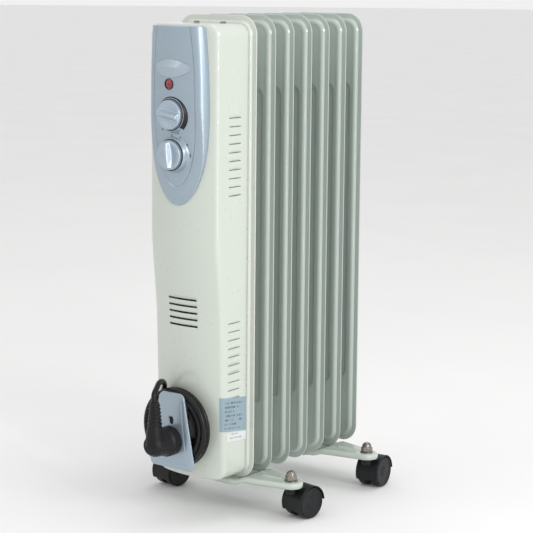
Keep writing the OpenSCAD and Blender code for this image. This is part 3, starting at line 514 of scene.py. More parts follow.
def tube(line, radius, sides=14):
    """A round tube along a line: rings square to it, each carried on from the last without twist."""
    ahead = np.gradient(line, axis=0)
    ahead /= np.linalg.norm(ahead, axis=1)[:, None]
    side = np.cross(ahead[0], [0.3, 0.1, 1.0])
    side /= np.linalg.norm(side)
    angle = np.linspace(0, 2 * math.pi, sides, endpoint=False)[:, None]
    out = []
    for here, way in zip(line, ahead):
        side = side - way * (side @ way)
        side /= np.linalg.norm(side)
        out.append(here + radius * (np.cos(angle) * side + np.sin(angle) * np.cross(way, side)))
    return np.array(out)


gland_x, gland_z, gland_y = 20.0, winder_z - 17, house_low[1] + 10.0
lead_start = np.array([gland_x - 6 * math.sin(math.radians(40)), gland_y,
                       gland_z - 6 * math.cos(math.radians(40))])
lead_points = np.array([
    lead_start, lead_start + [-5, 0, -5.4], [3, gland_y, winder_z - 29],
    [-7, gland_y, winder_z - 32.5], [-18, gland_y, winder_z - 31],
    [-28, gland_y, winder_z - 25.5], [-34.5, gland_y, winder_z - 17]])
tail_r = coil_r + row_step
tail_start = np.array([tail_r * math.cos(math.radians(140)), row_y[0],
                       winder_z + tail_r * math.sin(math.radians(140))])
tail_points = np.array([
    tail_start + [6, -1, 8.5], tail_start + [11.5, -5, 17], tail_start + [16.5, -12, 24],
    tail_start + [21, -21, 28], tail_start + [25.5, -31, 28.5], tail_start + [29.5, -40, 24.5],
    [-2.6, neck_y + 2, neck_top + 9], [-1, neck_y, neck_top], [0, neck_y, neck_top - 5]])


def wound_turns():
    """Five turns round the posts: flat rings of two layers, each stepping to its next row in the
    lower left, where the turn before it has already left."""
    enter, leave, turns = 206.0, 140.0, 5
    along = np.arange(12, turns * 360 + (enter - leave) - 6, 6.0)
    step = sum(smooth_step(250 + 360 * k, 310 + 360 * k, along) for k in (0, 1))
    climb = smooth_step(950, 1010, along)
    back = sum(smooth_step(250 + 360 * k, 310 + 360 * k, along) for k in (3, 4))
    y = row_y[0] - row_step * (step - back)
    radius = coil_r + row_step * climb
    angle = np.radians(enter - along)
    return np.stack([radius * np.cos(angle), y, winder_z + radius * np.sin(angle)], axis=-1)


cord_line = np.vstack([route(lead_points, 6), wound_turns(), route(tail_points, 6)])
cord = piece("mains_cord", [patch(tube(cord_line, cord_d / 2), close_v=True)], cord_black, "heater",
             ("cord_lead", "cord_coil", "cord_tail"), closed=False)
cord_path = (cord_line + [0, shift_y, 0]) * MM


# ---------------------------------------------------------------- fins

def corner_map(x, z, half, low, high, radius):
    """Bends a rectangular grid so that its four corner squares become quarter discs: each point's
    offset from the corner's centre is scaled by its larger part over its length."""
    dx = np.clip(np.abs(x) - (half - radius), 0, None)
    dz = np.where(z > (low + high) / 2, np.clip(z - (high - radius), 0, None),
                  -np.clip(low + radius - z, 0, None))
    length = np.hypot(dx, dz)
    share = np.where(length > 1e-9, np.maximum(dx, np.abs(dz)) / np.maximum(length, 1e-9), 1.0)
    return np.sign(x) * (np.abs(x) - dx + dx * share), z - dz + dz * share


def depth_inside(x, z, half, low, high, radius):
    """Distance inwards from a rounded rectangle's outline."""
    qx = np.abs(x) - (half - radius)
    qz = np.abs(z - (low + high) / 2) - ((high - low) / 2 - radius)
    outside = np.hypot(np.clip(qx, 0, None), np.clip(qz, 0, None))
    return radius - outside - np.minimum(np.maximum(qx, qz), 0)


def fin_side():
    """One face of a fin: a flat flange, a round channel along the rim, and a slab with three
    pressed slots, joined by small fillets; the flange's edge is rolled to nothing at the outline."""
    lip = [fin_half, fin_half - 0.08, fin_half - 0.25, fin_half - 0.5, fin_half - flange_half]
    right = list(samples((36, 0), (fin_half - 1.6, 27))) + lip[::-1]
    across = np.concatenate([-np.array(right)[::-1], samples((-36, 0), (36, 52))[1:-1], right])
    edge = fin_half - np.array(lip)
    up = np.concatenate([
        fin_z0 + edge,
        samples((fin_z0 + 1.6, 0), (fin_z0 + 104, 66), (fin_z1 - 107, 12), (fin_z1 - 1.6, 68)),
        (fin_z1 - edge)[::-1]])
    x, z = corner_map(*np.meshgrid(across, up, indexing="ij"), fin_half, fin_z0, fin_z1, fin_corner)
    inward = depth_inside(x, z, fin_half, fin_z0, fin_z1, fin_corner)
    roll = np.clip(inward / flange_half, 0, 1)
    flange = flange_half * np.sqrt(1 - (1 - roll) ** 2)
    channel = np.sqrt(np.clip(channel_r ** 2 - (inward - rim_in) ** 2, 0, None))
    slab = np.where(inward > rim_in, slab_half, 0)
    for middle in slot_middles:
        dz = np.abs(z - (slot_low + slot_high) / 2) - ((slot_high - slot_low) / 2 - slot_half)
        off = np.hypot(x - middle, np.clip(dz, 0, None)) - slot_half
        slab = np.minimum(slab, flange_half + (slab_half - flange_half) * smooth_step(-2.0, 1.4, off))
    pressed = soft_max(channel, slab, 1.0)
    return x, z, np.where(inward < 4, flange, soft_max(pressed, flange_half * np.ones_like(x), 1.4))


def neck(front, rear):
    """The welded neck between two fins: it flares into each slab and has a weld bead at its middle."""
    half = (rear - front) / 2
    line = np.array([(31.5, 3.7), (28.6, 4.5), (25.8, 5.8), (23.6, 8.0), (21.4, 11.0), (19.5, 14.0),
                     (18.0, 16.8), (17.3, half - 0.9), (17.8, half - 0.45), (18.0, half)])
    line = route(line, 4)
    both = np.vstack([line, np.stack([line[:, 0], 2 * half - line[:, 1]], axis=-1)[::-1]])
    return both


def make_fins():
    """Seven fins, their twelve necks and the closed ends of both headers."""
    x, z, h = fin_side()
    for k in range(fin_count):
        middle = (k - middle_fin) * fin_pitch
        sides = [patch(np.stack([x, middle - h, z], axis=-1)), patch(np.stack([x, middle + h, z], axis=-1))]
        for axis in {0: ["-y"], fin_count - 1: ["+y"]}.get(k, []):
            boss = rounded([(31, 3.7, 0), (25.5, 4.6, 3), (21.5, 8.3, 2.5), (0, 8.3, 0)], 6)
            for header in (header_low, header_high):
                sides.append(lathe(boss, (0, middle, header), axis))
        # Fin 1 takes the lighter enamel; fins 2 to 7 take its darker copy, which paints the shade between
        # the fins.
        finish = end_enamel if k == 0 else fin_enamel_painted_shade
        piece(f"fin_shell_{k + 1}", sides, finish, "heater", [f"fin_{k + 1}"], sharp=50)
    profile = neck(0, fin_pitch)
    tubes = [lathe(profile, (0, (k - middle_fin) * fin_pitch, header), "+y", 56)
             for k in range(fin_count - 1) for header in (header_low, header_high)]
    piece("header_necks", tubes, fin_enamel_painted_shade, "heater", closed=False)
    cap = rounded([(0, 8.2, 0), (17.9, 8.2, 0.2), (17.9, 9.7, 0.7), (15.5, 9.75, 1), (14.5, 9.2, 1),
                   (0, 9.2, 0)], 5)
    caps = [lathe(cap, (0, middle_fin * fin_pitch, header), "+y") for header in (header_low, header_high)]
    piece("header_end_caps", caps, fin_enamel_painted_shade, "heater", ["header_caps"])


# ---------------------------------------------------------------- housing

def hinge(z, start, width=5.0):
    """Nothing above start, the drop below start further down, with a soft bend between."""
    return width * np.logaddexp(0, (start - z) / width)


def housing_front(x, z):
    """The housing's front: a round arc in plan, upright above the knee, leaning back below it."""
    crown = crown_y + knee_slope * hinge(z, knee_z) - (knee_slope - foot_slope) * hinge(z, step_z)
    return crown + front_r - np.sqrt(front_r ** 2 - x ** 2)


side_slots = [house_z1 - 113 - 10.5 * k for k in range(10)] + [house_z0 + 197 - 10.5 * k for k in range(10)]
front_vents = [house_z0 + 226.3 - 8.3 * k for k in range(5)]
slot_front, slot_rear = house_back - 37.4, house_back - 14.4
slot_gap, vent_half, vent_reach = 0.8, 1.2, 22.5
house_fillet, house_corner = 5.0, 14.0


def without(grid, test):
    """A patch without the quads whose middle passes the test."""
    points, quads = grid
    return points, quads[~test(points[quads].mean(axis=1))]


def turned(grid, inside):
    """A patch whose faces point away from an inside point."""
    points, quads = grid
    a, b, c = (points[quads[:, k]] for k in (0, 1, 2))
    normal = np.cross(b - a, c - a)
    away_from = (points[quads].mean(axis=1) - np.array(inside))
    return (points, quads) if (normal * away_from).sum() > 0 else (points, quads[:, ::-1])


def housing_grid():
    """The front face as a grid with rounded corners, and the band that rolls over its edge and
    runs back to the fins; grid lines lie along every slot and vent, which are left open."""
    half, low, high = house_half - house_fillet, house_z0 + house_fillet, house_z1 - house_fillet
    radius = house_corner - house_fillet
    edges = [z + d for z in side_slots for d in (0, slot_gap)]
    edges += [z + d for z in front_vents for d in (-vent_half, vent_half)]
    plain = samples((low + radius, 0), (high - radius, 110))
    near = np.abs(plain[:, None] - np.array(edges)[None]).min(axis=1)
    up = np.concatenate([samples((low, 0), (low + radius, 6)), plain[1:-1][near[1:-1] > 1.2], edges,
                         samples((high - radius, 0), (high, 6))])
    up = np.unique(np.round(up, 5))
    right = np.concatenate([samples((2, 0), (vent_reach, 8), (half - radius, 7), (half, 6))])
    across = np.concatenate([-right[::-1], [0], right])
    x, z = corner_map(*np.meshgrid(across, up, indexing="ij"), half, low, high, radius)
    face = patch(np.stack([x, housing_front(x, z), z], axis=-1))

    def in_vent(p):
        near = np.abs(p[:, 2:3] - np.array(front_vents)) < vent_half
        return (np.abs(p[:, 0]) < vent_reach) & near.any(axis=1)

    n, m = x.shape
    walk = ([(i, 0) for i in range(n)] + [(n - 1, j) for j in range(1, m)]
            + [(i, m - 1) for i in range(n - 2, -1, -1)] + [(0, j) for j in range(m - 2, 0, -1)])
    rim_x, rim_z = (np.array([g[i, j] for i, j in walk]) for g in (x, z))
    qx = np.clip(np.abs(rim_x) - (half - radius), 0, None) * np.sign(rim_x)
    qz = np.clip(rim_z - (high - radius), 0, None) - np.clip(low + radius - rim_z, 0, None)
    length = np.hypot(qx, qz)
    nx, nz = qx / length, qz / length
    rows = []
    for roll in np.radians(np.linspace(0, 90, 9)):
        px, pz = rim_x + nx * house_fillet * np.sin(roll), rim_z + nz * house_fillet * np.sin(roll)
        front = housing_front(px, np.clip(pz, house_z0, house_z1))
        rows.append(np.stack([px, front + house_fillet * (1 - math.cos(roll)), pz], axis=-1))
    edge = rows[-1]
    for start, end, steps in ((None, slot_front, 3), (slot_front, slot_rear, 4),
                              (slot_rear, house_back, 3)):
        for t in np.linspace(0, 1, steps + 1)[1:]:
            y = (edge[:, 1] if start is None else start) * (1 - t) + end * t
            rows.append(np.stack([edge[:, 0], y * np.ones(len(edge)), edge[:, 2]], axis=-1))
    band = patch(np.array(rows), close_v=True)

    def in_slot(p):
        side = (np.abs(p[:, 0]) > house_half - 0.5) & (p[:, 1] > slot_front) & (p[:, 1] < slot_rear)
        above = p[:, 2:3] - np.array(side_slots)
        return side & ((above > 0) & (above < slot_gap)).any(axis=1)

    inside = (0, crown_y + 45, (house_z0 + house_z1) / 2)
    return [turned(without(face, in_vent), inside), turned(without(band, in_slot), inside)]


def make_housing():
    """The painted sheet cover, open at its back and through its slots."""
    cover = piece("housing_cover", housing_grid(), housing_enamel, "heater",
                  ["control_housing"], closed=False)
    thickened(cover, house_sheet, housing_enamel)


# ---------------------------------------------------------------- control panel

def panel_half(z):
    """Half the panel's width: a gentle taper above its middle and a blunt tip below."""
    above = panel_wide - 5 * np.clip((z - panel_mid) / (panel_top - panel_mid), 0, 1) ** 2
    share = np.clip((panel_mid - z) / (panel_mid - panel_tip), 0, 1)
    return np.where(z > panel_mid, above, panel_wide * np.sqrt(np.clip(1 - share ** 2.6, 0, None)))


def field_half(z):
    """Half the width of the inner field, whose edge is a fine step round both knobs."""
    middle = panel_mid - 2
    above = field_wide - 6 * np.clip((z - middle - 20) / 80, 0, None) ** 2
    share = np.clip((middle - z) / field_tall, 0, 1)
    return np.where(z > middle, above, field_wide * np.sqrt(np.clip(1 - share ** 2.3, 0, None)))


def panel_front(x, z):
    """The panel's face: a bulge that is flatter inside the field and rounder outside it, leaning
    back towards its tip, with a fine step at the field's edge and a flat pad under each knob."""
    def sag(radius, reach):
        return radius - np.sqrt(radius ** 2 - np.clip(np.abs(reach), 0, radius * 0.98) ** 2)

    field = np.maximum(field_half(z), 1e-6)
    share = np.clip((np.abs(x) - field) / np.maximum(panel_half(z) - field, 1.0), 0, 1)
    drop = sag(panel_r, panel_half(z)) - sag(field_r, field)
    fall = drop * (1 - np.sqrt(1 - 0.96 * share ** 2)) / 0.8
    bulge = panel_crown + sag(field_r, np.minimum(np.abs(x), field)) + fall
    lean = (lean_start - lean_end) / lean_height
    leaning = panel_crown + lean_start + (panel_tip + lean_height - z) * lean + sag(front_r, x)
    y = soft_max(bulge, leaning, 1.6)
    drop_in = np.clip((panel_mid - 2 - z) / field_tall, 0, None)
    level = (x / field_wide) ** 2 + drop_in ** 2.3 - 1
    steep = np.hypot(2 * x / field_wide ** 2, 2.3 * drop_in ** 1.3 / field_tall)
    off = np.where(drop_in > 0, level / np.maximum(steep, 1e-3), np.abs(x) - field_half(z))
    y = y + 0.75 * np.exp(-(off / 0.75) ** 2) - 0.5 * smooth_step(0.2, 2.0, off) * smooth_step(12, 6, off)
    for middle in (thermostat_z, power_z):
        rho = np.hypot(x, z - middle)
        share = smooth_step(22.6, 19.8, rho)
        y = y * (1 - share) + np.minimum(seat_y, y) * share
    return y


def panel_outline():
    """The panel's outline, anticlockwise from the tip: up the right, over the top, down the left."""
    z = panel_tip + (panel_top - 3 - panel_tip) * (1 - np.cos(np.linspace(0, math.pi / 2, 160)))
    right = np.stack([panel_half(z), z], axis=-1)
    half = panel_half(np.array([panel_top - 3]))[0]
    corner = arc((half - 3, panel_top - 3), 3, 0, 90, 6)
    right = np.vstack([right[:-1], corner])
    return resampled(np.vstack([right, (right * [-1, 1])[::-1][:-1]]), 1.3)


def plate_of(outline, spine, front, back, roll, edge_steps, inner_steps, tuck=0.0):
    """A closed plate: its face is a height over rings drawn from the outline to the spine, its edge
    is rolled by a quarter round, and its wall runs back to a second height."""
    reach = np.linalg.norm(outline - spine, axis=1)
    drops = roll * (1 - np.cos(np.linspace(0, math.pi / 2, edge_steps + 1)))
    shares = np.linspace(0, 1, inner_steps + 1)
    inner = rings(outline, spine, shares) - (outline - spine)[None] * (
        shares * roll)[:, None, None] / reach[None, :, None]
    rows = [np.stack([g[:, 0], front(g[:, 0], g[:, 1]), g[:, 1]], axis=-1) for g in inner]
    way = (outline - spine) / reach[:, None]
    for drop in drops[1:]:
        lift = roll - math.sqrt(max(roll ** 2 - drop ** 2, 0))
        g = outline - way * (roll - drop)
        rows.append(np.stack([g[:, 0], front(g[:, 0], g[:, 1]) + lift, g[:, 1]], axis=-1))
    wall = outline - way * tuck
    rows.append(np.stack([wall[:, 0], back(wall[:, 0], wall[:, 1]), wall[:, 1]], axis=-1))
    for share in (0.66, 0.33, 0.0):
        g = spine + (wall - spine) * share
        rows.append(np.stack([g[:, 0], back(g[:, 0], g[:, 1]), g[:, 1]], axis=-1))
    return patch(np.array(rows), close_v=True)


def make_panel():
    """The silver panel, its blank leaf, the lamp, a black ring round each knob's base that paints the
    shadow gap there, and the printed dial marks.
    """
    outline = panel_outline()
    spine = upright_spine(outline, panel_tip + 50, panel_top - 40)
    face = plate_of(outline, spine, panel_front, lambda x, z: housing_front(x, z) + 0.5, 1.0, 5, 58, 0.5)
    piece("panel_face", [face], panel_silver, "heater", ["control_panel"], sharp=60)

    top, bottom = arc((0, badge_z - 36), 47, 56, 124, 40), arc((0, badge_z + 36), 47, -124, -56, 40)
    leaf = np.vstack([top, bottom])
    leaf = leaf[(leaf[:, 0] < 29) & (leaf[:, 0] > -25.5)]
    leaf = resampled(leaf, 0.9)
    keel = np.stack([np.clip(leaf[:, 0], -24, 26), np.full(len(leaf), badge_z + 1.5)], axis=-1)

    def ridge(x, z):
        reach = np.where(z > badge_z + 1.5, 9.5, 12.5)
        rise = 4.2 * np.clip(1 - np.abs(z - badge_z - 1.5) / reach, 0, 1)
        rise = rise * smooth_step(31, 8, np.abs(x))
        return panel_front(x, z) - 0.7 - rise

    badge = plate_of(leaf, keel, ridge, lambda x, z: panel_front(x, z) + 0.6, 0.5, 3, 14)
    piece("panel_leaf", [badge], badge_silver, "heater", ["panel_badge"], sharp=14)

    lens = rounded([(0, 1.6, 0), (3.0, 1.3, 1.0), (5.2, 0.2, 0.5), (5.45, -2.5, 0), (0, -2.5, 0)], 4)
    lens_at = (lamp_x, panel_crown + 0.2, lamp_z)
    piece("lamp_lens", [lathe(lens, lens_at, "-y", 16)], lamp_red, "heater",
          ["indicator_lamp"], sharp=12)
    ring = rounded([(5.5, -2.0, 0), (5.5, 0.9, 0.25), (6.9, 0.7, 0.5), (7.0, -3.0, 0), (5.5, -3.0, 0),
                    (5.5, -2.0, 0)], 4)
    piece("lamp_ring", [lathe(ring, lens_at, "-y", 48)], bezel_black, "heater",
          ["lamp_bezel"])

    # Each knob gets a black ring round its base: painted shade, a dark piece standing for the shadow gap
    # round the knob.
    for name, middle in (("thermostat", thermostat_z), ("power", power_z)):
        knob_shade_ring = rounded([(18.25, -0.5, 0), (18.25, 0.35, 0.1), (19.5, 0.35, 0.3), (19.6, -0.5, 0),
                          (18.25, -0.5, 0)], 4)
        piece(f"{name}_collar", [lathe(knob_shade_ring, (0, seat_y, middle), "-y", 96)], bezel_black,
              "heater")
    make_dial_marks()


def film(a, b):
    """A printed strip between two 2D lines of the same length: its face stands 0.3 mm proud of
    the panel's face and its back is 0.5 mm inside it."""
    grid = np.stack([a + (b - a) * t for t in np.linspace(0, 1, 5)])
    out = []
    for lift in (-0.3, 0.5):
        y = panel_front(grid[..., 0], grid[..., 1]) + lift
        out.append(np.stack([grid[..., 0], y, grid[..., 1]], axis=-1))
    loop = np.concatenate([out[0], out[1][::-1]])
    ends = [np.stack([out[0][:, k], out[1][:, k]]) for k in (0, -1)]
    return [patch(loop, close_u=True)] + [patch(e) for e in ends]


def make_dial_marks():
    """A band that widens clockwise round the thermostat, two dots under it, and the power marks."""
    angles = np.linspace(thermostat_points, -48, 90)
    width = 0.5 + 3.0 * np.linspace(0, 1, len(angles)) ** 1.2

    def polar(radius, degrees, middle):
        t = np.radians(degrees)
        return np.stack([radius * np.cos(t), middle + radius * np.sin(t)], axis=-1)

    marks = film(polar(20.6 - width * 0.1, angles, thermostat_z),
                 polar(20.6 + width * 0.9, angles, thermostat_z))
    for degrees, reach in ((-133, 25.5), (-71, 23.6)):
        dot = np.linspace(degrees - 1.6, degrees + 1.6, 6)
        marks += film(polar(reach - 0.7, dot, thermostat_z), polar(reach + 0.7, dot, thermostat_z))
    for k, degrees in enumerate((96, 64, 32, 0)):
        for bar in range(max(k, 1)):
            mark = np.linspace(degrees - 0.9, degrees + 0.9, 4) + (bar - (max(k, 1) - 1) / 2) * 3.6
            marks += film(polar(22.6, mark, power_z), polar(24.8, mark, power_z))
    piece("dial_marks", marks, dial_ink, "heater")


def make_knob(name, middle, pointer, body, node):
    """A knob: a dished disc with a tall grip across it, narrow at its top, and a notched pointer end.
    Its face is a height over rings and angle; the skirt runs down to its back."""
    rho = samples((0.4, 0), (13, 26), (knob_r - 1.0, 10))[:, None]
    angle = np.linspace(0, 2 * math.pi, 180, endpoint=False)[None]
    turn_by = math.radians(pointer)
    along, across = rho * np.cos(angle - turn_by), rho * np.sin(angle - turn_by)
    base = 4.6 - 1.5 * smooth_step(16.4, 7.0, np.hypot(along, across))
    crest = 10.1 - 0.5 * smooth_step(6, 16, np.abs(along))
    share = smooth_step(5.4, 0.9, np.abs(across))
    share = share * smooth_step(knob_r - 0.9, knob_r - 2.8, np.abs(along))
    notch = 0.5 * smooth_step(0.7, 0.3, np.abs(across))
    notch = notch * smooth_step(7.5, 8.2, along) * smooth_step(15.2, 14.6, along)
    top = base + (crest - base) * share - notch
    x, z = rho * np.cos(angle), rho * np.sin(angle)
    pole = np.stack([0 * x[:1], 0 * x[:1] + crest[0].max(), 0 * x[:1]], axis=-1)
    rows = [pole[0]] + [np.stack([x[k], top[k], z[k]], axis=-1) for k in range(len(rho))]
    for radius, height in ((knob_r - 0.5, 4.45), (knob_r - 0.15, 4.1), (knob_r, 3.6), (knob_r, 0.25),
                           (knob_r - 0.25, 0), (3, 0), (0, 0)):
        around = angle[0]
        rows.append(np.stack([radius * np.cos(around), np.full(len(around), float(height)),
                              radius * np.sin(around)], axis=-1))
    grid = np.array(rows)
    back = knob_high[1]
    grid = np.stack([grid[..., 0], back - grid[..., 1], middle + grid[..., 2]], axis=-1)
    piece(f"{name}_dial", [patch(grid, close_v=True)], knob_silver, body,
          [node], sharp=45)


# ---------------------------------------------------------------- cord winder and plug

def arc_wall(start, end, inner, outer, front, back):
    """A curved post: a rectangle of radius and depth carried round an arc, with closed ends."""
    t = np.radians(np.linspace(start, end, 30))[:, None]
    corners_r, corners_y = np.array([inner, outer, outer, inner]), np.array([front, front, back, back])
    points = np.stack([corners_r * np.cos(t), corners_y * np.ones_like(t),
                       winder_z + corners_r * np.sin(t)], axis=-1)
    ends = [patch(points[k][[0, 1, 3, 2]].reshape(2, 2, 3)) for k in (0, -1)]
    return [patch(points, close_v=True)] + ends


def make_winder():
    """The winder's plate with its fine step and its screw well, a black plug that paints the shade in the
    well, and the posts behind it.
    """
    discs = [arc((sx * 11.5, plate_top - 9), 9, 0, 360, 60) for sx in (-1, 1)]
    discs += [arc((sx * 26.5, plate_bottom + 9), 9, 0, 360, 60) for sx in (-1, 1)]
    outline = resampled(hull_of(np.vstack(discs)), 1.0)
    spine = upright_spine(outline, plate_bottom + 26, plate_top - 16)

    def front(x, z):
        share = (z - plate_bottom) / (plate_top - plate_bottom)
        half = 26.5 - 13.0 * share
        ends = np.maximum(z - plate_top + 12, plate_bottom + 8 - z)
        step = np.maximum((np.abs(x) - half) * 0.98, ends)
        y = plate_y + 0.35 * smooth_step(-0.4, 0.8, step) + 0.35 * np.exp(-(step / 0.6) ** 2)
        y = y + 1.3 * smooth_step(1.0, 11.0, step) ** 1.5
        well = np.hypot(x, np.clip(np.abs(z - winder_z - 11) - 1.5, 0, None))
        return y + 2.2 * smooth_step(3.9, 3.3, well)

    plate = plate_of(outline, spine, front, lambda x, z: np.full_like(x, plate_back), 0.9, 4, 40)
    house = housing_front(np.array([0.0]), np.array([winder_z]))[0]
    hub = coil_r - cord_d / 2 - 0.4
    posts = []
    for start, end in ((285, 325), (350, 410), (100, 160)):
        posts += arc_wall(start, end, hub - 2.4, hub, plate_back - 0.3, house + 5.5)
    boss = np.array([(4.2, 0), (7.4, 0), (7.6, 1.5), (7.6, 23), (4.2, 23), (4.2, 0)], float)
    posts.append(lathe(boss, (0, plate_back - 0.2, winder_z + 11), "+y", 40))
    # A black stadium plug low in the screw well: painted shade, a dark piece standing for the shade in the
    # hole; it joins the posts' piece.
    well = resampled(np.vstack([arc((0, winder_z + 11 + s * 1.6), 3.3, a, a + 180, 16)
                                for s, a in ((1, 0), (-1, 180))]), 0.6)
    stem = upright_spine(well, winder_z + 9.4, winder_z + 12.6)
    posts.append(plate_of(well, stem, lambda x, z: np.full_like(x, plate_y + 1.3),
                          lambda x, z: np.full_like(x, plate_y + 2.8), 0.3, 2, 4))
    piece("winder_posts_and_well_shade", posts, castor_black, "heater")
    piece("winder_plate", [plate], panel_silver, "heater", ["cord_winder"], sharp=50)


def make_plug():
    """The parked plug: a round face, a tapering grip with finger flutes, and a ribbed neck upwards."""
    face = plate_y
    body = rounded([(0, -0.2, 0), (18.2, -0.2, 0.8), (18.5, 4, 0), (18.4, 11.5, 1.5), (16.4, 14.5, 2.5),
                    (15.3, 22, 3), (14.2, 33, 3.5), (10.5, 39.2, 3.0), (0, 39.7, 0)], 6)
    grid, quads = lathe(body, (0, face, plug_z), "-y", 96)
    spin = np.arctan2(grid[:, 2] - plug_z, grid[:, 0])
    out = face - grid[:, 1]
    flute = 0.45 * smooth_step(15, 19, out) * smooth_step(36, 32, out) * (0.5 - 0.5 * np.cos(spin * 16))
    radial = np.hypot(grid[:, 0], grid[:, 2] - plug_z)
    shrink = 1 - flute / np.maximum(radial, 5)
    grid = np.stack([grid[:, 0] * shrink, grid[:, 1], plug_z + (grid[:, 2] - plug_z) * shrink], axis=-1)

    height = samples((0, 0), (neck_top - plug_z, 150))
    radius = 10.8 - 5.4 * (height / height[-1]) + 1.2 * smooth_step(30, 12, height)
    wave = np.clip(np.cos((height - 27.1) / 4.6 * 2 * math.pi), -0.35, 0.75)
    ribbed = smooth_step(23.5, 25, height) * smooth_step(52.5, 51, height)
    radius = radius + ribbed * (wave + 0.35) * 0.95
    profile = np.vstack([np.stack([radius, height], axis=-1), [(cord_d / 2 - 0.2, height[-1] + 0.3)]])
    profile = np.vstack([[(0, 0)], profile, [(0, height[-1] + 0.2)]])
    neck_part = lathe(profile, (0, neck_y, plug_z), "+z", 56)
    return piece("plug_body", [(grid, quads), neck_part], plug_black, "heater",
                 ["mains_plug"], sharp=50)


def make_gland():
    """The elbow where the cord leaves the housing, with a ribbed, tapering sleeve."""
    way = np.array([-math.sin(math.radians(40)), 0, -math.cos(math.radians(40))])
    start = np.array([gland_x, gland_y, gland_z])
    bend = route(np.array([start + [0, 11, 0], start + [0, 4, 0], start + way * 3, start + way * 8,
                           start + way * 13]), 12)
    along = np.linspace(0, 1, len(bend))
    radius = 6.0 - 1.6 * smooth_step(0.4, 1, along) + 0.25 * np.cos(along * 60) * (along > 0.45)
    ring = tube(bend, 1.0, 24)
    middle = bend[:, None]
    sleeve = middle + (ring - middle) * radius[:, None, None]
    piece("cord_gland_sleeve", [patch(sleeve, close_v=True)], plug_black, "heater",
          ["cord_gland"], closed=False)


# ---------------------------------------------------------------- labels

def make_labels():
    """Two blank films low on the right side; the larger one bends round the housing's front edge."""
    def side(distance, z):
        """A point on the side: distance forwards from the fins, round the rolled edge if need be."""
        px = np.full_like(z, house_half - house_fillet)
        edge = housing_front(px + house_fillet, z) + house_fillet
        flat = edge - (house_back - distance)
        roll = np.clip(flat, 0, house_fillet * math.pi / 2) / house_fillet
        x = px + house_fillet * np.cos(roll)
        rolled = housing_front(x, z) + house_fillet * (1 - np.sin(roll))
        y = np.where(flat > 0, rolled, house_back - distance)
        return x + 0.14 * np.cos(roll), y - 0.14 * np.sin(roll)

    for name, start, end, low, high, tilt, finish in (
            ("rating_label_film", 1.2, 49.5, house_z0 + 61, house_z0 + 104, 0.12, rating_film),
            ("bar_label_film", 1.2, 39.0, house_z0 + 47, house_z0 + 57.5, 0.09, bar_film)):
        d, v = np.meshgrid(np.linspace(start, end, 60), np.linspace(0, 1, 24), indexing="ij")
        z = low + (high - low) * v - (end - d) * tilt + 2.5
        x, y = side(d, z)
        grid = np.stack([x, y, z], axis=-1)
        stands_for = ["rating_label"] if finish is rating_film else []
        made = piece(name, [turned(patch(grid), (0, crown_y + 40, z.mean()))], finish, "heater",
                     stands_for, closed=False, weld=1e-4)
        layer = made.data.uv_layers.new(name="film")
        u = 1 - (d - start) / (end - start)
        flat_uv = np.stack([u, v], axis=-1).reshape(-1, 2)
        vertex = np.zeros(len(made.data.loops), int)
        made.data.loops.foreach_get("vertex_index", vertex)
        layer.data.foreach_set("uv", flat_uv[vertex].ravel())


# ---------------------------------------------------------------- feet

def make_foot(name, node, half_y):
    """A pressed foot: low under the fins, stepped up to its round ends, with a rolled rim turned
    down all round and a bead pressed along each arm."""
    low, high = box_mm(node)
    middle = (low[1] + high[1]) / 2
    reach = high[0] - foot_end_r
    discs = [arc((sx * reach, 0), foot_end_r, 0, 360, 90) for sx in (-1, 1)]
    discs += [arc((sx * 34, sy * (half_y - 12)), 12, 0, 360, 90) for sx in (-1, 1) for sy in (-1, 1)]
    outline = resampled(hull_of(np.vstack(discs)), 1.2)
    spine = np.stack([np.clip(outline[:, 0], -reach + 2, reach - 2), np.zeros(len(outline))], axis=-1)

    def top(x, y):
        arm = foot_mid_z + (foot_end_z - foot_mid_z) * smooth_step(40, 55, np.abs(x))
        bead = np.hypot(np.clip(np.abs(np.abs(x) - 78) - 12, 0, None), y)
        return arm + 1.7 * smooth_step(5.2, 1.6, bead)

    way = outline - spine
    length = np.linalg.norm(way, axis=1)[:, None]
    way = way / length
    roll, rows = 3.2, []
    for share in np.linspace(0, 1, 22):
        g = spine + way * (length - roll) * share
        rows.append(np.stack([g[:, 0], g[:, 1], top(g[:, 0], g[:, 1])], axis=-1))
    for bend in np.radians(np.linspace(0, 90, 8))[1:]:
        g = outline - way * roll * (1 - math.sin(bend))
        height = top(g[:, 0], g[:, 1]) - roll * (1 - math.cos(bend))
        rows.append(np.stack([g[:, 0], g[:, 1], height], axis=-1))
    rows.append(rows[-1] - [0, 0, foot_rim - roll])
    grid = np.array(rows) + [0, middle, 0]
    made = piece(name, [turned(patch(grid, close_v=True), (0, middle, foot_mid_z - 30))], foot_enamel,
                 "heater", [node], closed=False)
    thickened(made, foot_sheet, foot_enamel)


def hexagon(radius, low, high, around=48):
    """A nut's body: a hexagon whose corners are turned off top and bottom."""
    angle = np.linspace(0, 2 * math.pi, around, endpoint=False)
    flat = math.cos(math.pi / 6) / np.cos((angle + math.pi / 6) % (math.pi / 3) - math.pi / 6)
    rows = []
    for share, z in ((0, low), (0.86, low), (1, low + 0.7), (1, high - 0.9), (0.84, high), (0, high)):
        r = np.minimum(flat, 0.97 if share < 1 else 2) * radius * share
        rows.append(np.stack([r * np.cos(angle), r * np.sin(angle), np.full(around, float(z))], axis=-1))
    return np.array(rows)


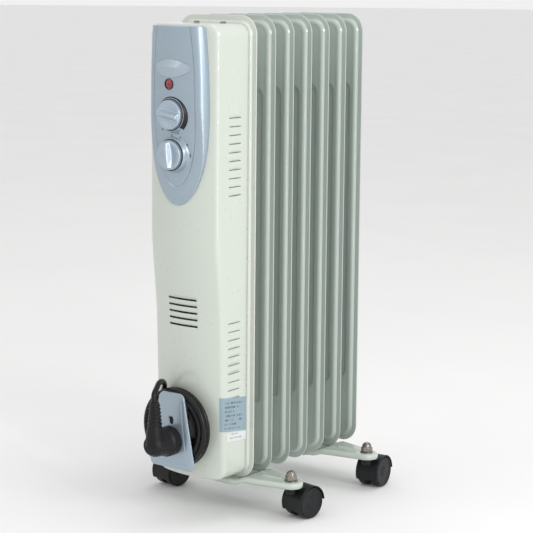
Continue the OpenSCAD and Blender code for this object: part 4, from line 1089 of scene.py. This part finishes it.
def make_dome_nuts():
    """A flanged, domed nut over each castor stem."""
    for corner in corners:
        x, y, _ = np.array(joints["swivel_" + corner]["pos_m"]) / MM
        y -= shift_y
        at = np.array([x, y, foot_end_z])
        flange = rounded([(0, 0, 0), (8.6, 0, 0.2), (8.6, 1.0, 0.5), (7.2, 1.6, 0.6), (0, 1.6, 0)], 4)
        dome = rounded([(0, 7.0, 0), (6.25, 7.0, 0.2), (6.25, 8.3, 0), (5.6, 10.8, 3.0), (3.6, 12.9, 3.0),
                        (0, 13.5, 0)], 5)
        body = hexagon(7.5, 1.4, 7.6) + at
        parts = [lathe(flange, at, "+z", 56), patch(body, close_v=True), lathe(dome, at, "+z", 56)]
        piece("dome_nut_" + corner, parts, nickel, "heater", ["dome_nuts"], sharp=30)


# ---------------------------------------------------------------- castors

def placed_castor(corner):
    """Moves a patch made round a stem at the origin, axle behind it, to this castor's place."""
    stem = np.array(joints["swivel_" + corner]["pos_m"]) / MM
    axis = joints[f"spin_{corner}_a"]["axis"]
    c, s = axis[0], axis[1]

    def move(grid):
        points, quads = grid
        x, y = points[:, 0] * c - points[:, 1] * s, points[:, 0] * s + points[:, 1] * c
        return np.stack([x + stem[0], y + stem[1] - shift_y, points[:, 2]], axis=-1), quads
    return move


def hood_shell():
    """The hood: a rounded strip carried round the wheels, thicker at its two rims."""
    edge, lip = 16.0, 0.7
    section = rounded([(0, hood_r, 0), (edge - 1.6, hood_r, 0.4), (edge - 1.2, hood_r - 0.5 + lip, 0.3),
                       (edge, hood_r - 0.5 + lip, 0.4), (edge, hood_in, 0.4), (edge - 1.2, hood_in, 0.2),
                       (0, hood_in + 0.1, 0)], 3)
    loop = np.vstack([section, (section * [-1, 1])[::-1][1:-1]])
    t = np.radians(np.linspace(4, 204, 70))[:, None]
    x = np.broadcast_to(loop[:, 0], (len(t), len(loop)))
    r = loop[:, 1]
    points = np.stack([x, trail + r * np.cos(t), wheel_r + r * np.sin(t)], axis=-1)
    parts = [patch(points, close_v=True)]
    for end in (points[0], points[-1]):
        centre = np.repeat(end.mean(axis=0)[None], len(loop), axis=0)
        parts.append(patch(np.stack([end, centre]), close_v=True))
    return parts


def hood_web():
    """The web between the wheels, the arm up to the stem, the stem's socket and its neck."""
    rim = arc((trail, wheel_r), hood_in + 0.6, 82, 186, 30)
    low = np.array([(trail - 15, wheel_r - 7.5), (trail + 4, wheel_r - 6.2),
                    (trail + 6.2, wheel_r - 2), (trail + 6.0, wheel_r + 6)])
    outline = resampled(np.vstack([rim, low]), 1.2)
    centre = np.array([[trail - 4, wheel_r + 5]])
    rows = []
    for share, x in ((0, 2.2), (0.97, 2.2), (1, 1.9), (1, -1.9), (0.97, -2.2), (0, -2.2)):
        g = centre + (outline - centre) * share
        rows.append(np.stack([np.full(len(g), x), g[:, 0], g[:, 1]], axis=-1))
    boss = rounded([(2.6, -2.9, 0), (6, -2.9, 0.5), (6, 2.9, 0.5), (2.6, 2.9, 0), (2.6, -2.9, 0)], 4)
    crown = hood_r + wheel_r
    socket = rounded([(4.1, 33.2, 0), (6.2, 33.2, 0.6), (6.6, 36, 0.5), (6.6, crown - 0.8, 1.0),
                      (8.6, crown + 0.2, 0.5), (8.5, 46.0, 0.5), (4.1, 46.0, 0), (4.1, 33.2, 0)], 4)
    return [patch(np.array(rows), close_v=True), lathe(boss, (0, trail, wheel_r), "+x", 40),
            lathe(socket, (0, 0, 0), "+z", 48)]


def wheel_parts(side):
    """One wheel: a rounded tread, a recessed outer face with a rim and a hub cap, and a hollow
    inner side with a hub round the axle."""
    profile = rounded([
        (2.62, 3.0, 0), (5.9, 3.0, 0.4), (6.1, 12.3, 0.6), (16.6, 12.3, 0.6), (16.8, 3.6, 0.3),
        (19.2, 3.4, 0.6), (19.95, 4.4, 1.0), (20.0, 13.9, 1.2), (18.9, 15.6, 0.7), (17.6, 15.8, 0.4),
        (16.9, 15.0, 0.4), (7.2, 14.9, 0.4), (6.6, 15.5, 0.4), (2.0, 15.7, 0.5), (0, 15.7, 0)], 4)
    profile = np.vstack([[(0, 13.9)], [(2.62, 13.9)], profile])
    points, quads = lathe(profile, (0, trail, wheel_r), "+x", 72)
    points = points * [side, 1, 1]
    return points, quads[:, ::-1] if side < 0 else quads


def make_castors():
    """Four castors, each a hood and two wheels that turn apart on one axle."""
    for corner in corners:
        move = placed_castor(corner)
        parts = [move(p) for p in hood_shell() + hood_web()]
        piece("castor_hood_" + corner, parts, castor_black, "castor_" + corner,
              ["hood_" + corner], sharp=40)
        for side, letter in ((1, "a"), (-1, "b")):
            piece(f"castor_wheel_{corner}_{letter}", [move(wheel_parts(side))], castor_black,
                  f"wheel_{corner}_{letter}", [f"wheel_{corner}_{letter}"], sharp=40)


# ---------------------------------------------------------------- the rest of the heater

def paint_nodes():
    """Finishes for the CAD nodes that show as they are."""
    plain = {
        "header_nipples": zinc, "oil_fill_plug": zinc, "element_flange": brass,
        "heating_elements": element_steel, "element_terminals": ivory,
        "housing_back_plate": zinc, "housing_screws": nickel, "component_bracket": zinc,
        "thermostat_body": switch_brown, "power_switch_body": switch_brown,
        "terminal_block": ivory, "thermal_cutout": zinc, "wiring": sleeve_brown,
        "thermostat_shaft": zinc, "power_shaft": zinc, "plug_pins": nickel,
        "foot_clamps": zinc, "clamp_nuts": zinc, "castor_stems": zinc}
    plain.update({"axle_" + corner: zinc for corner in corners})
    for name, finish in plain.items():
        mesh = frame["nodes"][name].data
        mesh.materials.clear()
        mesh.materials.append(finish)


make_fins()
make_housing()
make_panel()
make_knob("thermostat", thermostat_z, thermostat_points, "thermostat_dial", "thermostat_knob")
make_knob("power", power_z, power_points, "power_dial", "power_knob")
make_winder()
plug = make_plug()
make_gland()
make_labels()
make_foot("front_foot_pressing", "front_foot", 32.0)
make_foot("rear_foot_pressing", "rear_foot", 30.0)
make_dome_nuts()
make_castors()
paint_nodes()
[float(v) for v in cord_path[0]]


# ---------------------------------------------------------------- studio

def soft_light(name, place, target, size, power):
    """A square soft box that faces a point."""
    data = bpy.data.lights.new(name, "AREA")
    data.size = size
    data.energy = power
    lamp = bpy.data.objects.new(name, data)
    lamp.matrix_world = Matrix.Translation(place) @ (
        Vector(target) - Vector(place)).to_track_quat("-Z", "Y").to_matrix().to_4x4()
    bpy.context.scene.collection.objects.link(lamp)
    return lamp


def strip_light(name, place, target, width, height, power):
    """A tall, narrow soft box, which draws fine bright lines along upright ridges."""
    lamp = soft_light(name, place, target, width, power)
    lamp.data.shape = "RECTANGLE"
    lamp.data.size_y = height
    return lamp


def make_studio():
    """A pale floor out to the horizon, a pale sky, three soft boxes and a strip light."""
    radius = np.array([0.0, 0.3, 0.6, 1.2, 2.5, 5, 10, 20, 40])[:, None]
    angle = np.linspace(0, 2 * math.pi, 64, endpoint=False)[None]
    points = np.stack([radius * np.cos(angle), radius * np.sin(angle), 0 * radius * angle], axis=-1)
    grid, quads = patch(points, close_v=True)
    mesh = bpy.data.meshes.new("studio_floor")
    mesh.from_pydata(grid.tolist(), [], quads.tolist())
    work = bmesh.new()
    work.from_mesh(mesh)
    bmesh.ops.remove_doubles(work, verts=work.verts, dist=1e-5)
    bmesh.ops.recalc_face_normals(work, faces=work.faces)
    if sum(f.normal.z for f in work.faces) < 0:
        bmesh.ops.reverse_faces(work, faces=work.faces)
    work.to_mesh(mesh)
    work.free()
    material, tree, shader = new_finish("studio_paper")
    clouds = spread(tree, spots(tree, 3, 2), 0, 1)
    tree.links.new(blend(tree, clouds, (0.86, 0.86, 0.855), (0.84, 0.84, 0.838)),
                   shader.inputs["Base Color"])
    shader.inputs["Roughness"].default_value = 0.9
    mesh.materials.append(material)
    floor = bpy.data.objects.new("studio_floor", mesh)
    bpy.context.scene.collection.objects.link(floor)

    world = bpy.data.worlds.new("studio_sky")
    world.use_nodes = True
    world.node_tree.nodes["Background"].inputs["Color"].default_value = (1.0, 1.0, 1.0, 1)
    world.node_tree.nodes["Background"].inputs["Strength"].default_value = 0.88
    bpy.context.scene.world = world
    middle = (0, 0, 0.35)
    soft_light("key_box", (-1.1, -2.5, 2.0), middle, 1.2, 5)
    soft_light("side_box", (2.5, -0.3, 1.3), middle, 0.7, 16)
    strip_light("ridge_strip", (1.55, -0.75, 0.75), middle, 0.06, 1.7, 7.5)
    soft_light("top_box", (0.4, 0.3, 2.6), middle, 1.2, 8)
    bpy.context.scene.view_settings.view_transform = "Standard"


make_studio()
